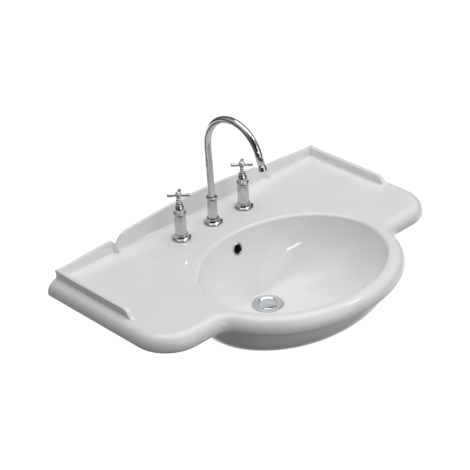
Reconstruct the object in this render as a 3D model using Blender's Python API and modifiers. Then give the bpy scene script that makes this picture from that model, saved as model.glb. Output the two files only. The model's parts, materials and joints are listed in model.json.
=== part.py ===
"""Wall-hung console basin with a three-hole swan-neck tap set and a push-down waste.

Everything is in metres. X runs along the wall, -Y out into the room and +Z up. The origin is on the
wall plane, at the middle of the basin's width, level with the top of its deck.
"""

import math

import bmesh
import bpy
from mathutils import Matrix, Quaternion, Vector

# Clearances
GAP = 0.0003  # left between pieces that touch
RUNNING_GAP = 0.0005  # round a shank or a spindle

# Basin outline, seen from above
HALF_WIDTH = 0.435
LOBE_DEPTH = 0.396  # wall to the front of the square side lobes
CORNER_R = 0.090
NOTCH_R = 0.040  # hollow curve between a lobe and the bow
BOW_HALF_WIDTH = 0.266
BOW_HALF_DEPTH = 0.208
BOW_CENTRE = 0.360  # wall to the middle of the bow's ellipse

# Rim: a bullnose that turns under
RIM_REACH = 0.0255  # how far the rounded edge stands out from the deck's flat
RIM_DROP = 0.0285  # deck to the widest line of the rim
RIM_UNDER = 0.0115
RIM_TUCK = 0.0110  # depth of the lower quarter round
RIM_WALL = 0.024
DECK_THICKNESS = 0.018

# Bowl
BOWL_HALF_WIDTH = 0.232
BOWL_HALF_DEPTH = 0.190
BOWL_CENTRE = 0.341
BOWL_LIP = 0.007
BOWL_FLOOR = 0.152  # deck to the seat of the waste
BOWL_STEEPNESS = 1.15  # a lower number makes the bowl fuller
BOWL_LIP_DROP = 0.006
BOWL_WALL = 0.014
DRAIN_SHIFT = 1.5  # how late, going down, the bowl's middle moves back over the waste
SHELL_SIDE = 0.018  # outer shell beyond the bowl's opening, at the ends
SHELL_FRONT = 0.006
SHELL_BACK = 0.022
SHELL_TOP = 0.034
SHELL_FULLNESS = 0.57  # a lower number makes the outside steeper under the rim
SHELL_ROUND = 1.30
SHELL_SHIFT = 0.7
BOSS_R = 0.052
BOSS_DROP = 0.020

# Upstand round three sides, with an arched crest in the middle of the wall side
SIDE_UPSTAND_H = 0.020
BACK_UPSTAND_H = 0.022
HUMP_H = 0.029
CREST_H = 0.050
CREST_END_H = 0.036
VALLEY_H = 0.014
CREST_HALF = 0.226
CURL_X = 0.240  # middle of the curl where the low upstand meets the crest
CURL_REACH = 0.024  # wall to the toe of the curl
CURL_HALF = 0.006
UPSTAND_FOOT = 0.0140  # side upstand, thickness at its foot
BACK_FOOT = 0.0100
UPSTAND_TOP = 0.0090
TOP_ROUND = 0.0015
UPSTAND_LENGTH = 0.262  # wall to the front tip of a side upstand
UPSTAND_TAPER = 0.027
TIP_CLOSING = 0.85  # share by which the upstand's lines close up past its tips
APRON = 0.004  # level deck kept in front of the curls

# Hanging plate behind the bowl
PLATE_HALF = 0.205
PLATE_DROP = 0.120
PLATE_RAMP = 0.030
WALL_BOLT_X = 0.140
WALL_BOLT_DROP = 0.085
WALL_BOLT_R = 0.0070

# Waste
DRAIN_Y = -0.251
DRAIN_R = 0.0230
FLANGE_R = 0.0370
FLANGE_SEAT = 0.012  # depth of the recess that holds the flange
DISH_DEPTH = 0.0070
THROAT_DEPTH = 0.0100
PLUG_R = 0.0225
PLUG_EDGE = 0.0020
PLUG_DOME = 0.0030
STEM_R = 0.0030
STEM_COLLAR_H = 0.0045
O_RING_R = 0.0014
STEM_SPARE = 0.0020  # left in the guide when the plug is up
PLUG_TRAVEL = 0.0080
WASTE_BODY_R = 0.0205
WASTE_BORE_R = 0.0170
WASTE_LENGTH = 0.082  # below the flange seat
OVERFLOW_SLOT = 0.0080
GUIDE_DROP = 0.0330  # flange seat to the guide that the stem slides in
GUIDE_H = 0.0040
SPRING_R = 0.0055
SPRING_WIRE_R = 0.0006
SPRING_TURNS = 5
WASTE_SEAL_H = 0.0030
WASTE_SEAL_R = 0.0340
BACKNUT_H = 0.010
BACKNUT_R = 0.0370
PAD_CLEARANCE = 0.0015  # between the backnut's corners and the pad round it
PAD_H = 0.002  # the ring pad of the boss, which a pedestal's head meets, below the seal's seat

# Overflow
OVERFLOW_DROP = 0.042
OVERFLOW_R = 0.0120
OVERFLOW_RING_R = 0.0155
OVERFLOW_BORE_R = 0.0100
OVERFLOW_NECK = 0.0080
OVERFLOW_FLANGE_H = 0.0018
CHANNEL_R = 0.0045
CHANNEL_COVER = 0.0040  # china between the bowl and the channel behind it

# Taps
TAP_Y = -0.0765
TAP_SPACING = 0.100
TAP_HOLE_R = 0.0165
FOOT_R = 0.0240
FOOT_H = 0.0140
FOOT_NECK_R = 0.0158
FACETS = 8
VALVE_COLUMN_WALL = 0.002873  # metal at the flats of the faceted column
SPOUT_COLUMN_WALL = 0.00121
COLUMN_TOP = 0.0640
COLLAR_H = 0.0045
SHANK_R = 0.0103  # the valves' tails
COLUMN_BORE_R = SHANK_R + RUNNING_GAP
VALVE_COLUMN_R = (COLUMN_BORE_R + VALVE_COLUMN_WALL) / math.cos(math.pi / FACETS)
SHANK_BORE_R = 0.0065
SHANK_DROP = 0.075
PORT_DROP = 0.055  # deck to the side ports under it
PORT_R = 0.0085
PORT_REACH = 0.030
PORT_FLOOR = 0.004  # metal under the side ports where the bore ends
LINK_R = 0.0050
LINK_NUT_R = 0.0105
LINK_NUT_L = 0.012
SEAL_H = 0.0015
WASHER_H = 0.0025
WASHER_R = 0.0230
NUT_H = 0.009
NUT_R = 0.0200

# Swan-neck spout
SPOUT_R = 0.0086
SPOUT_BORE_R = 0.0066
SPOUT_STUB = 0.075  # deck to where the pipe starts to lean
SPOUT_STUB_BOTTOM = 0.032
SPOUT_RING_HEIGHTS = (0.040, 0.054)
SPOUT_RING_R = 0.0008  # half the section of the O-rings round the pipe
SPOUT_COLUMN_BORE_R = SPOUT_R + 2 * (SPOUT_RING_R + GAP)
SPOUT_COLUMN_R = (SPOUT_COLUMN_BORE_R + SPOUT_COLUMN_WALL) / math.cos(math.pi / FACETS)
SPOUT_SHANK_R = SPOUT_COLUMN_BORE_R - RUNNING_GAP
SPOUT_LEAN = math.radians(-1.3)
SPOUT_RISE = 0.125
SPOUT_BEND_R = 0.0870
SPOUT_OUTLET_TURN = math.radians(160.0)
SPOUT_TAIL = 0.026
AERATOR_STEP = 0.0012  # the aerator's ring stands out from the pipe
AERATOR_R = SPOUT_R + AERATOR_STEP
AERATOR_L = 0.011

# Valve insides and cross handle
CARTRIDGE_R = COLUMN_BORE_R - RUNNING_GAP
CARTRIDGE_BORE_R = 0.0084
CARTRIDGE_H = 0.0400
CARTRIDGE_LID = 0.0030
DISC_R = 0.0078
DISC_H = 0.0032
DISC_PORT_R = 0.0025
CARRIER_H = 0.0050
SPINDLE_R = 0.0030
BONNET_R = 0.0138
BONNET_H = 0.0215
NECK_R = 0.0048
HANDLE_Z = 0.1120
HUB_R = 0.0068
HUB_HALF = 0.0055
HUB_LID = 0.0030  # metal left over the end of the spindle
ARM_SPAN = 0.0540
ARM_R = 0.0024
ARM_TIP_R = 0.0045
FINIAL_H = 0.0110
REST_ANGLE = math.radians(45.0)

CHINA = ("vitreous_china", (0.86, 0.86, 0.85), 0.08, 0.0)
CHROME = ("chrome_plate", (0.78, 0.79, 0.80), 0.06, 1.0)
BRASS = ("brass", (0.72, 0.53, 0.25), 0.28, 1.0)
STEEL = ("stainless_steel", (0.55, 0.56, 0.57), 0.30, 1.0)
RUBBER = ("rubber", (0.03, 0.03, 0.03), 0.75, 0.0)
PLASTIC = ("acetal", (0.80, 0.80, 0.76), 0.40, 0.0)
ALUMINA = ("alumina_disc", (0.90, 0.88, 0.82), 0.20, 0.0)

ROUND = 18
SMALL_ROUND = 12
FACET_TURN = math.pi / FACETS
BOW_STEPS = 10
BOWL_TURNS = (80, 68, 56, 45, 35, 25, 15, 0)  # degrees down the bowl's inside, lip at 0
SHELL_TURNS = (3, 12, 24, 37, 50, 63, 76, 85)  # and down its outside


def clear_scene():
    for thing in list(bpy.data.objects):
        bpy.data.objects.remove(thing, do_unlink=True)


def make_collection(name):
    collection = bpy.data.collections.new(name)
    bpy.context.scene.collection.children.link(collection)
    return collection


def material(finish):
    name, colour, roughness, metallic = finish
    made = bpy.data.materials.get(name)
    if made is None:
        made = bpy.data.materials.new(name)
        made.use_nodes = True
        shader = made.node_tree.nodes["Principled BSDF"]
        shader.inputs["Base Color"].default_value = (*colour, 1.0)
        shader.inputs["Roughness"].default_value = roughness
        shader.inputs["Metallic"].default_value = metallic
        made.diffuse_color = (*colour, 1.0)
    return made


def place(name, mesh, finish, at=(0, 0, 0), turn=None):
    """An object of this mesh in the basin's collection, shaded smooth over its shallow edges."""
    mesh.materials.append(material(finish))
    mesh.shade_smooth()
    mesh.set_sharp_from_angle(angle=math.radians(35))
    thing = bpy.data.objects.new(name, mesh)
    PARTS.objects.link(thing)
    thing.location = at
    if turn is not None:
        thing.rotation_euler = turn
    return thing


def cutter(thing):
    """Moves an object to the cutters, out of the finished model."""
    PARTS.objects.unlink(thing)
    CUTTERS.objects.link(thing)
    thing.hide_render = True
    thing.display_type = "WIRE"
    return thing


def boolean(thing, other, operation):
    modifier = thing.modifiers.new(operation.lower() + "_" + other.name, "BOOLEAN")
    modifier.object = other
    modifier.operation = operation


def moving_group(name, at, members):
    """An empty on a joint's axis that carries the pieces that move together."""
    axis = bpy.data.objects.new(name, None)
    axis.empty_display_size = 0.01
    axis.location = at
    PARTS.objects.link(axis)
    for member in members:
        thing = PARTS.objects[member]
        thing.parent = axis
        thing.matrix_parent_inverse = Matrix.Translation(Vector(at)).inverted()


def evaluated_mesh(thing):
    bpy.context.view_layer.update()
    graph = bpy.context.evaluated_depsgraph_get()
    return bpy.data.meshes.new_from_object(thing.evaluated_get(graph))


def turned(name, outer, finish, at=(0, 0, 0), bore=None, steps=ROUND, turn=None):
    """A turned piece. outer is (radius, height) down its outer side; bore, if any, is the same down
    its inner side. Without a bore the profile starts and ends on the axis."""
    if bore is None:
        profile = [(0.0, outer[0][1]), *outer, (0.0, outer[-1][1])]
    else:
        profile = [*outer, *reversed(bore)]
    mesh = bpy.data.meshes.new(name)
    edges = [(i, i + 1) for i in range(len(profile) - 1)]
    if bore is not None:
        edges.append((len(profile) - 1, 0))
    mesh.from_pydata([(radius, 0.0, height) for radius, height in profile], edges, [])
    thing = bpy.data.objects.new(name + "_profile", mesh)
    bpy.context.scene.collection.objects.link(thing)
    screw = thing.modifiers.new("screw", "SCREW")
    screw.steps = steps
    screw.render_steps = steps
    screw.use_merge_vertices = True
    screw.merge_threshold = 0.00001
    solid = evaluated_mesh(thing)
    bpy.data.objects.remove(thing, do_unlink=True)
    solid.name = name
    recalculate(solid)
    return place(name, solid, finish, at, turn)


def recalculate(mesh, weld=0.000001):
    """Welds loose seams and points every face outwards."""
    work = bmesh.new()
    work.from_mesh(mesh)
    bmesh.ops.remove_doubles(work, verts=work.verts, dist=weld)
    bmesh.ops.recalc_face_normals(work, faces=work.faces)
    work.to_mesh(mesh)
    work.free()


def swept(name, points, radius, finish, at=(0, 0, 0), sides_level=4):
    """A rod of this radius along the points, as a mesh with its caps welded."""
    curve = bpy.data.curves.new(name, "CURVE")
    curve.dimensions = "3D"
    curve.bevel_depth = radius
    curve.bevel_resolution = sides_level
    curve.use_fill_caps = True
    spline = curve.splines.new("POLY")
    spline.points.add(len(points) - 1)
    for slot, point in zip(spline.points, points):
        slot.co = (*point, 1.0)
    thing = bpy.data.objects.new(name + "_curve", curve)
    bpy.context.scene.collection.objects.link(thing)
    solid = evaluated_mesh(thing)
    bpy.data.objects.remove(thing, do_unlink=True)
    solid.name = name
    recalculate(solid, 0.00001)
    return place(name, solid, finish, at)


# ---- Basin -------------------------------------------------------------------------------------


def bow_point(angle):
    """A point of the bow's ellipse and its outward normal; angle is 0 at the front middle."""
    point = Vector((BOW_HALF_WIDTH * math.sin(angle), -BOW_CENTRE - BOW_HALF_DEPTH * math.cos(angle)))
    normal = Vector((math.sin(angle) / BOW_HALF_WIDTH, -math.cos(angle) / BOW_HALF_DEPTH)).normalized()
    return point, normal


def notch_angle():
    """Where on the bow the hollow curve of radius NOTCH_R that also touches the lobe's front meets it."""
    low, high = 0.2, math.pi / 2
    for _ in range(60):
        middle = (low + high) / 2
        point, normal = bow_point(middle)
        centre = point + normal * NOTCH_R
        if -centre.y - NOTCH_R > LOBE_DEPTH:
            low = middle
        else:
            high = middle
    return (low + high) / 2


def back_stations():
    """|x| of the loft's stations along the wall, closer together where the upstand curls."""
    crest = [CREST_HALF * share for share in (0, 0.2, 0.4, 0.6, 0.8, 0.93, 1.0)]
    curl = [CURL_X - CURL_HALF, CURL_X, CURL_X + CURL_HALF, CURL_X + 4 * CURL_HALF]
    last = curl[-1]
    corner = HALF_WIDTH - RIM_REACH - UPSTAND_FOOT
    return crest + curl + [last + (corner - last) * share for share in (0.33, 0.67)]


def half_outline():
    """Stations (x, y, normal, place) from the middle of the wall side round to the middle of the bow.
    place says how the station moves when the outline is set in: wall, corner or edge."""
    stations = [(x, 0.0, Vector((0, 1)), "wall") for x in back_stations()]
    stations.append((HALF_WIDTH, 0.0, Vector((1, 1)), "corner"))
    side_end = LOBE_DEPTH - CORNER_R
    tip = UPSTAND_LENGTH
    for y in (0.035, 0.46 * tip, tip - UPSTAND_TAPER, tip, (tip + side_end) / 2):
        stations.append((HALF_WIDTH, -y, Vector((1, 0)), "edge"))
    for step in range(7):
        angle = math.radians(90) * step / 6
        normal = Vector((math.cos(angle), -math.sin(angle)))
        centre = Vector((HALF_WIDTH - CORNER_R, -side_end))
        stations.append((*(centre + normal * CORNER_R), normal, "edge"))
    meet = notch_angle()
    point, normal = bow_point(meet)
    centre = point + normal * NOTCH_R
    start, end = math.radians(-90), math.atan2(normal.y, normal.x)
    for step in range(5):
        angle = start + (end - start) * step / 4
        outward = Vector((math.cos(angle), math.sin(angle)))
        stations.append((*(centre - outward * NOTCH_R), outward, "edge"))
    for step in range(1, BOW_STEPS + 1):
        point, normal = bow_point(meet * (1 - step / BOW_STEPS))
        stations.append((*point, normal, "edge"))
    return stations


def set_in(station, side, back):
    """A station moved inwards: by side round the sides and front, and by back along the wall."""
    x, y, normal, where = station
    if where == "wall":
        return Vector((x, -back))
    if where == "corner":
        return Vector((x - side, -back))
    return Vector((x, y)) - normal * side


def upstand_height(station):
    """Height of the upstand above the deck at a station, and 0 past its front tips."""
    x, y, _, where = station
    if where == "edge":
        return SIDE_UPSTAND_H * max(0.0, min(1.0, (UPSTAND_LENGTH + y) / UPSTAND_TAPER))
    if where == "corner":
        return BACK_UPSTAND_H
    if x < CREST_HALF * 0.99:
        return CREST_END_H + (CREST_H - CREST_END_H) * (1 - (x / CREST_HALF) ** 1.8)
    if x < CREST_HALF * 1.01:
        return (CREST_END_H + VALLEY_H) / 2
    if x < CURL_X - CURL_HALF / 2:
        return VALLEY_H
    hump_end = CURL_X + 4 * CURL_HALF
    if x < hump_end + CURL_HALF:
        return HUMP_H
    corner = HALF_WIDTH - RIM_REACH - UPSTAND_FOOT
    return HUMP_H + (BACK_UPSTAND_H - HUMP_H) * (x - hump_end) / (corner - hump_end)


def curl_reach(station):
    """How far the foot of the wall side's upstand stands out beyond its plain run, at the curl."""
    x, _, _, where = station
    if where != "wall":
        return 0.0
    share = max(0.0, 1 - abs(x - CURL_X) / (1.5 * CURL_HALF))
    return (CURL_REACH - BACK_FOOT) * share


def plate_share(station):
    """1 along the hanging plate behind the bowl, 0 beyond it."""
    x, _, _, where = station
    if where != "wall":
        return 0.0
    return max(0.0, min(1.0, (PLATE_HALF + PLATE_RAMP - x) / PLATE_RAMP))


def station_angles(stations):
    """The angle of each station about the bowl's centre, from the wall side; along the wall it is
    spread evenly, so that the curl's close stations don't crowd the bowl."""
    foot = [set_in(s, RIM_REACH + UPSTAND_FOOT, BACK_FOOT) for s in stations]
    angles = [math.atan2(point.x, point.y + BOWL_CENTRE) for point in foot]
    corner = [s[3] for s in stations].index("corner")
    for index in range(corner):
        angles[index] = angles[corner] * index / corner
    angles[-1] = math.pi
    return angles


def ellipse_ring(angles, half_x, half_front, half_back, centre_y, height):
    """A level ellipse with one point a station; its two ends may differ."""
    ring = []
    for angle in angles:
        half_y = half_back if math.cos(angle) > 0 else half_front
        turn = math.atan2(math.sin(angle) / half_x, math.cos(angle) / half_y)
        ring.append((half_x * math.sin(turn), centre_y + half_y * math.cos(turn), height))
    return ring


def circle_ring(angles, radius, height):
    return ellipse_ring(angles, radius, radius, radius, DRAIN_Y, height)


def bowl_section(turn):
    """Half width, half depth, centre and height of the bowl's inside; turn runs 0 at the lip to 90
    degrees at the waste."""
    share = math.cos(turn)
    rim_r = FLANGE_R + 4 * GAP
    half_x = rim_r + (BOWL_HALF_WIDTH - rim_r) * share
    half_y = rim_r + (BOWL_HALF_DEPTH - rim_r) * share
    centre = -BOWL_CENTRE + (DRAIN_Y + BOWL_CENTRE) * (1 - share) ** DRAIN_SHIFT
    height = -BOWL_LIP_DROP - (BOWL_FLOOR - BOWL_LIP_DROP) * math.sin(turn) ** BOWL_STEEPNESS
    return half_x, half_y, centre, height


def shell_section(turn):
    """The same for the outside of the bowl, with its front and back half depths."""
    share = max(0.0, math.cos(turn)) ** SHELL_ROUND
    half_x = BOSS_R + (BOWL_HALF_WIDTH + SHELL_SIDE - BOSS_R) * share
    front = BOSS_R + (BOWL_HALF_DEPTH + SHELL_FRONT - BOSS_R) * share
    back = BOSS_R + (BOWL_HALF_DEPTH + SHELL_BACK - BOSS_R) * share
    centre = -BOWL_CENTRE + (DRAIN_Y + BOWL_CENTRE) * (1 - share) ** SHELL_SHIFT
    drop = BOWL_FLOOR + BOWL_WALL - SHELL_TOP
    return half_x, front, back, centre, -SHELL_TOP - drop * math.sin(turn) ** SHELL_FULLNESS


def outline_ring(stations, side, back, height):
    """The outline set in, at a height; each of them is a number or a function of the station."""
    ring = []
    for station in stations:
        inward = side(station) if callable(side) else side
        point = set_in(station, inward, back(station) if callable(back) else back)
        ring.append((point.x, point.y, height(station) if callable(height) else height))
    return ring


def outside_shell(ring, margin, low, high):
    """Keeps a ring of the rim's underside clear of the shell: a point that would fall within it moves
    out to its edge, at the height low, and the others take the height high."""
    half_x = BOWL_HALF_WIDTH + SHELL_SIDE + margin
    kept = []
    for x, y, _ in ring:
        half_y = BOWL_HALF_DEPTH + margin + (SHELL_BACK if y > -BOWL_CENTRE else SHELL_FRONT)
        reach = math.hypot(x / half_x, (y + BOWL_CENTRE) / half_y)
        if reach < 1:
            kept.append((x / reach, -BOWL_CENTRE + (y + BOWL_CENTRE) / reach, low))
        else:
            kept.append((x, y, high))
    return kept


def bowl_rings(angles):
    """From the foot of the waste hole up through the bowl to the deck."""
    seat = -BOWL_FLOOR - FLANGE_SEAT
    boss = -BOWL_FLOOR - BOWL_WALL - BOSS_DROP
    rings = [circle_ring(angles, DRAIN_R, boss), circle_ring(angles, DRAIN_R, seat)]
    rings.append(circle_ring(angles, FLANGE_R + 2 * GAP, seat))
    rings.append(circle_ring(angles, FLANGE_R + 3 * GAP, -BOWL_FLOOR))
    for degrees in BOWL_TURNS:
        half_x, half_y, centre, height = bowl_section(math.radians(degrees))
        rings.append(ellipse_ring(angles, half_x, half_y, half_y, centre, height))
    for share, drop in ((0.3, 0.25), (1.0, 0.0)):
        out = BOWL_LIP * share
        sizes = (BOWL_HALF_WIDTH + out, BOWL_HALF_DEPTH + out, BOWL_HALF_DEPTH + out)
        rings.append(ellipse_ring(angles, *sizes, -BOWL_CENTRE, -BOWL_LIP_DROP * drop))
    return rings


def closing(side):
    """A line of the upstand, this far in along it. Past its tips, the line closes up to the rim, because
    the bowl's lip comes near the rim there."""

    def inward(station):
        _, y, _, where = station
        past = max(0.0, min(1.0, (-y - UPSTAND_LENGTH) / UPSTAND_TAPER)) if where == "edge" else 0.0
        return RIM_REACH + (side - RIM_REACH) * (1 - TIP_CLOSING * past)

    return inward


def upstand_rings(stations):
    """Over the upstand, from its foot on the deck to the top of the rounded rim."""

    def raised(share, less=0.0):
        return lambda station: max(0.0, upstand_height(station) * share - less)

    top_in = RIM_REACH + TOP_ROUND + UPSTAND_TOP
    foot_in = RIM_REACH + UPSTAND_FOOT
    back_top = BACK_FOOT - TOP_ROUND
    return [
        outline_ring(stations, closing(foot_in), lambda s: BACK_FOOT + curl_reach(s), 0.0),
        outline_ring(
            stations,
            closing((foot_in + top_in) / 2),
            lambda s: back_top + TOP_ROUND / 2 + curl_reach(s) / 2,
            raised(0.6),
        ),
        outline_ring(stations, closing(top_in), back_top, raised(1.0)),
        outline_ring(stations, closing(RIM_REACH + TOP_ROUND), TOP_ROUND, raised(1.0)),
        outline_ring(stations, closing(RIM_REACH + TOP_ROUND / 2), 0.0, raised(1.0, TOP_ROUND)),
        outline_ring(stations, RIM_REACH, 0.0, 0.0),
    ]


def rim_rings(stations):
    """Down the bullnose, round under it and up inside to the underside of the deck."""
    rings = []
    for degrees in (25, 50, 72, 90):
        turn = math.radians(degrees)
        rings.append(
            outline_ring(
                stations, RIM_REACH * (1 - math.sin(turn)), 0.0, -RIM_DROP * (1 - math.cos(turn))
            )
        )
    bottom = RIM_DROP + RIM_TUCK

    def hang(depth):
        return lambda station: -depth - (PLATE_DROP - bottom) * plate_share(station)

    middle = RIM_UNDER * (1 - math.cos(math.radians(45)))
    middle_drop = RIM_DROP + RIM_TUCK * math.sin(math.radians(45))
    rings.append(outline_ring(stations, middle, 0.0, -middle_drop))
    rings.append(outline_ring(stations, RIM_UNDER, 0.0, hang(bottom)))
    inner = outside_shell(outline_ring(stations, RIM_WALL, RIM_WALL, 0.0), 0.006, -bottom, -bottom)
    rings.append([(x, y, hang(bottom)(s)) for (x, y, _), s in zip(inner, stations)])
    root = RIM_WALL + 0.004
    under = outline_ring(stations, root, root, 0.0)
    rings.append(outside_shell(under, 0.004, -bottom + 0.002, -DECK_THICKNESS))
    return rings


def shell_rings(angles, under):
    """From the underside of the deck down the outside of the bowl to the boss round the waste."""
    half_x, front, back, centre, _ = shell_section(0)
    collar = ellipse_ring(angles, half_x + 0.003, front + 0.002, back + 0.003, centre, 0.0)
    first = []
    for (x, y, _), low in zip(collar, under):
        first.append((x, y, -SHELL_TOP if low[2] < -SHELL_TOP else -DECK_THICKNESS))
    rings = [first]
    for degrees in SHELL_TURNS:
        half_x, front, back, centre, height = shell_section(math.radians(degrees))
        rings.append(ellipse_ring(angles, half_x, front, back, centre, height))
    floor = -BOWL_FLOOR - BOWL_WALL
    rings.append(circle_ring(angles, BOSS_R, floor))
    pad = floor - BOSS_DROP - PAD_H
    rings.append(circle_ring(angles, BOSS_R - 0.003, pad))
    rings.append(circle_ring(angles, BACKNUT_R + PAD_CLEARANCE, pad))
    rings.append(circle_ring(angles, BACKNUT_R + PAD_CLEARANCE, floor - BOSS_DROP))
    return rings


def loft(name, rings, finish):
    """One closed skin through half rings, each mirrored across the middle, and back to the first."""
    mesh = bpy.data.meshes.new(name)
    work = bmesh.new()
    rows = []
    for ring in rings:
        whole = ring + [(-x, y, z) for x, y, z in reversed(ring[1:-1])]
        rows.append([work.verts.new(point) for point in whole])
    for row, after in zip(rows, rows[1:] + rows[:1]):
        for index in range(len(row)):
            along = (index + 1) % len(row)
            work.faces.new((row[index], row[along], after[along], after[index]))
    bmesh.ops.recalc_face_normals(work, faces=work.faces)
    work.to_mesh(mesh)
    work.free()
    return place(name, mesh, finish)


def overflow_seat():
    """The turn of the bowl section at the overflow's height, its point on the back wall, and the
    direction out of the wall into the bowl."""
    low, high = 0.0, math.pi / 2
    for _ in range(60):
        middle = (low + high) / 2
        if -bowl_section(middle)[3] < OVERFLOW_DROP:
            low = middle
        else:
            high = middle
    point = back_wall(low)
    along = back_wall(low + 0.02) - back_wall(low - 0.02)
    outward = Vector((0, along.z, -along.y)).normalized()
    return low, point, outward if outward.y < 0 else -outward


def back_wall(turn):
    """The bowl's inside at the middle of its back, as a point in space."""
    _, half_y, centre, height = bowl_section(turn)
    return Vector((0, centre + half_y, height))


def channel_points():
    """The overflow channel's middle line: into the wall, down behind the bowl and into the waste hole."""
    low, point, outward = overflow_seat()
    offset = CHANNEL_R + CHANNEL_COVER
    points = [point - outward * 0.002]
    for step in range(8):
        turn = low + 0.10 + (math.radians(84) - low - 0.10) * step / 7
        along = back_wall(turn + 0.02) - back_wall(turn - 0.02)
        normal = Vector((0, along.z, -along.y)).normalized()
        if normal.y < 0:
            normal = -normal
        points.append(back_wall(turn) + normal * (offset + 0.004 * (1 - step / 7)))
    drop = -BOWL_FLOOR - FLANGE_SEAT - CHANNEL_R - 0.002
    points.append(Vector((0, DRAIN_Y + DRAIN_R + 0.012, drop)))
    points.append(Vector((0, DRAIN_Y + DRAIN_R - 0.006, drop)))
    return points


def along_axis(direction, spin=0.0):
    """The rotation that turns +Z to this direction, after a spin about +Z."""
    return (Vector(direction).to_track_quat("Z", "Y") @ Quaternion((0, 0, 1), spin)).to_euler()


def rod_cutter(name, radius, low, high, at, direction=(0, 0, 1)):
    """A cylinder to cut with, from low to high along its direction. It is spun by half a facet, so
    that no edge of it lies on the basin's middle plane."""
    aim = along_axis(direction, math.pi / ROUND)
    return cutter(turned(name, [(radius, high), (radius, low)], CHINA, at, steps=ROUND, turn=aim))


def build_basin():
    stations = half_outline()
    angles = station_angles(stations)
    bowl = bowl_rings(angles)
    upstand = upstand_rings(stations)
    apron_in = RIM_REACH + UPSTAND_FOOT + APRON
    apron = outline_ring(stations, closing(apron_in), CURL_REACH + APRON, 0.0)
    deck = [tuple((a + b) / 2 for a, b in zip(inner, outer)) for inner, outer in zip(bowl[-1], apron)]
    rim = rim_rings(stations)
    basin = loft("basin", bowl + [deck, apron] + upstand + rim + shell_rings(angles, rim[-1]), CHINA)
    for index, x in enumerate((-TAP_SPACING, 0.0, TAP_SPACING)):
        at = (x, TAP_Y, -DECK_THICKNESS / 2)
        hole = rod_cutter(f"tap_hole_{index}", TAP_HOLE_R, -DECK_THICKNESS, DECK_THICKNESS, at)
        boolean(basin, hole, "DIFFERENCE")
    for index, x in enumerate((-WALL_BOLT_X, WALL_BOLT_X)):
        at = (x, -RIM_WALL / 2, -WALL_BOLT_DROP)
        hole = rod_cutter(f"wall_hole_{index}", WALL_BOLT_R, -RIM_WALL, RIM_WALL, at, (0, 1, 0))
        boolean(basin, hole, "DIFFERENCE")
    _, point, outward = overflow_seat()
    hole = turned(
        "overflow_hole",
        [
            (OVERFLOW_RING_R + GAP, 0.006),
            (OVERFLOW_RING_R + GAP, -0.0015),
            (OVERFLOW_R, -0.0015),
            (OVERFLOW_R, -OVERFLOW_NECK - 0.003),
        ],
        CHINA,
        point,
        turn=along_axis(outward, math.pi / ROUND),
    )
    boolean(basin, cutter(hole), "DIFFERENCE")
    channel = cutter(swept("overflow_channel", channel_points(), CHANNEL_R, CHINA, sides_level=3))
    boolean(basin, channel, "DIFFERENCE")
    return point, outward


def build_overflow_ring(point, outward):
    flange = -0.0015 + GAP
    turned(
        "overflow_ring",
        [
            (OVERFLOW_RING_R - 0.001, flange + OVERFLOW_FLANGE_H + 0.001),
            (OVERFLOW_RING_R, flange + OVERFLOW_FLANGE_H),
            (OVERFLOW_RING_R, flange),
            (OVERFLOW_R - GAP, flange),
            (OVERFLOW_R - GAP, flange - OVERFLOW_NECK),
        ],
        CHROME,
        point,
        bore=[
            (OVERFLOW_BORE_R + 0.001, flange + OVERFLOW_FLANGE_H + 0.001),
            (OVERFLOW_BORE_R, flange + OVERFLOW_FLANGE_H),
            (OVERFLOW_BORE_R, flange - OVERFLOW_NECK),
        ],
        turn=along_axis(outward),
    )


# ---- Waste -------------------------------------------------------------------------------------


def ring_piece(name, outer_r, inner_r, low, high, finish, at, steps=SMALL_ROUND):
    """A plain ring. Its hole's facets lie outside inner_r, so that what passes through clears them."""
    hole_r = inner_r / math.cos(math.pi / steps)
    outer = [(outer_r, high), (outer_r, low)]
    return turned(name, outer, finish, at, [(hole_r, high), (hole_r, low)], steps)


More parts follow.
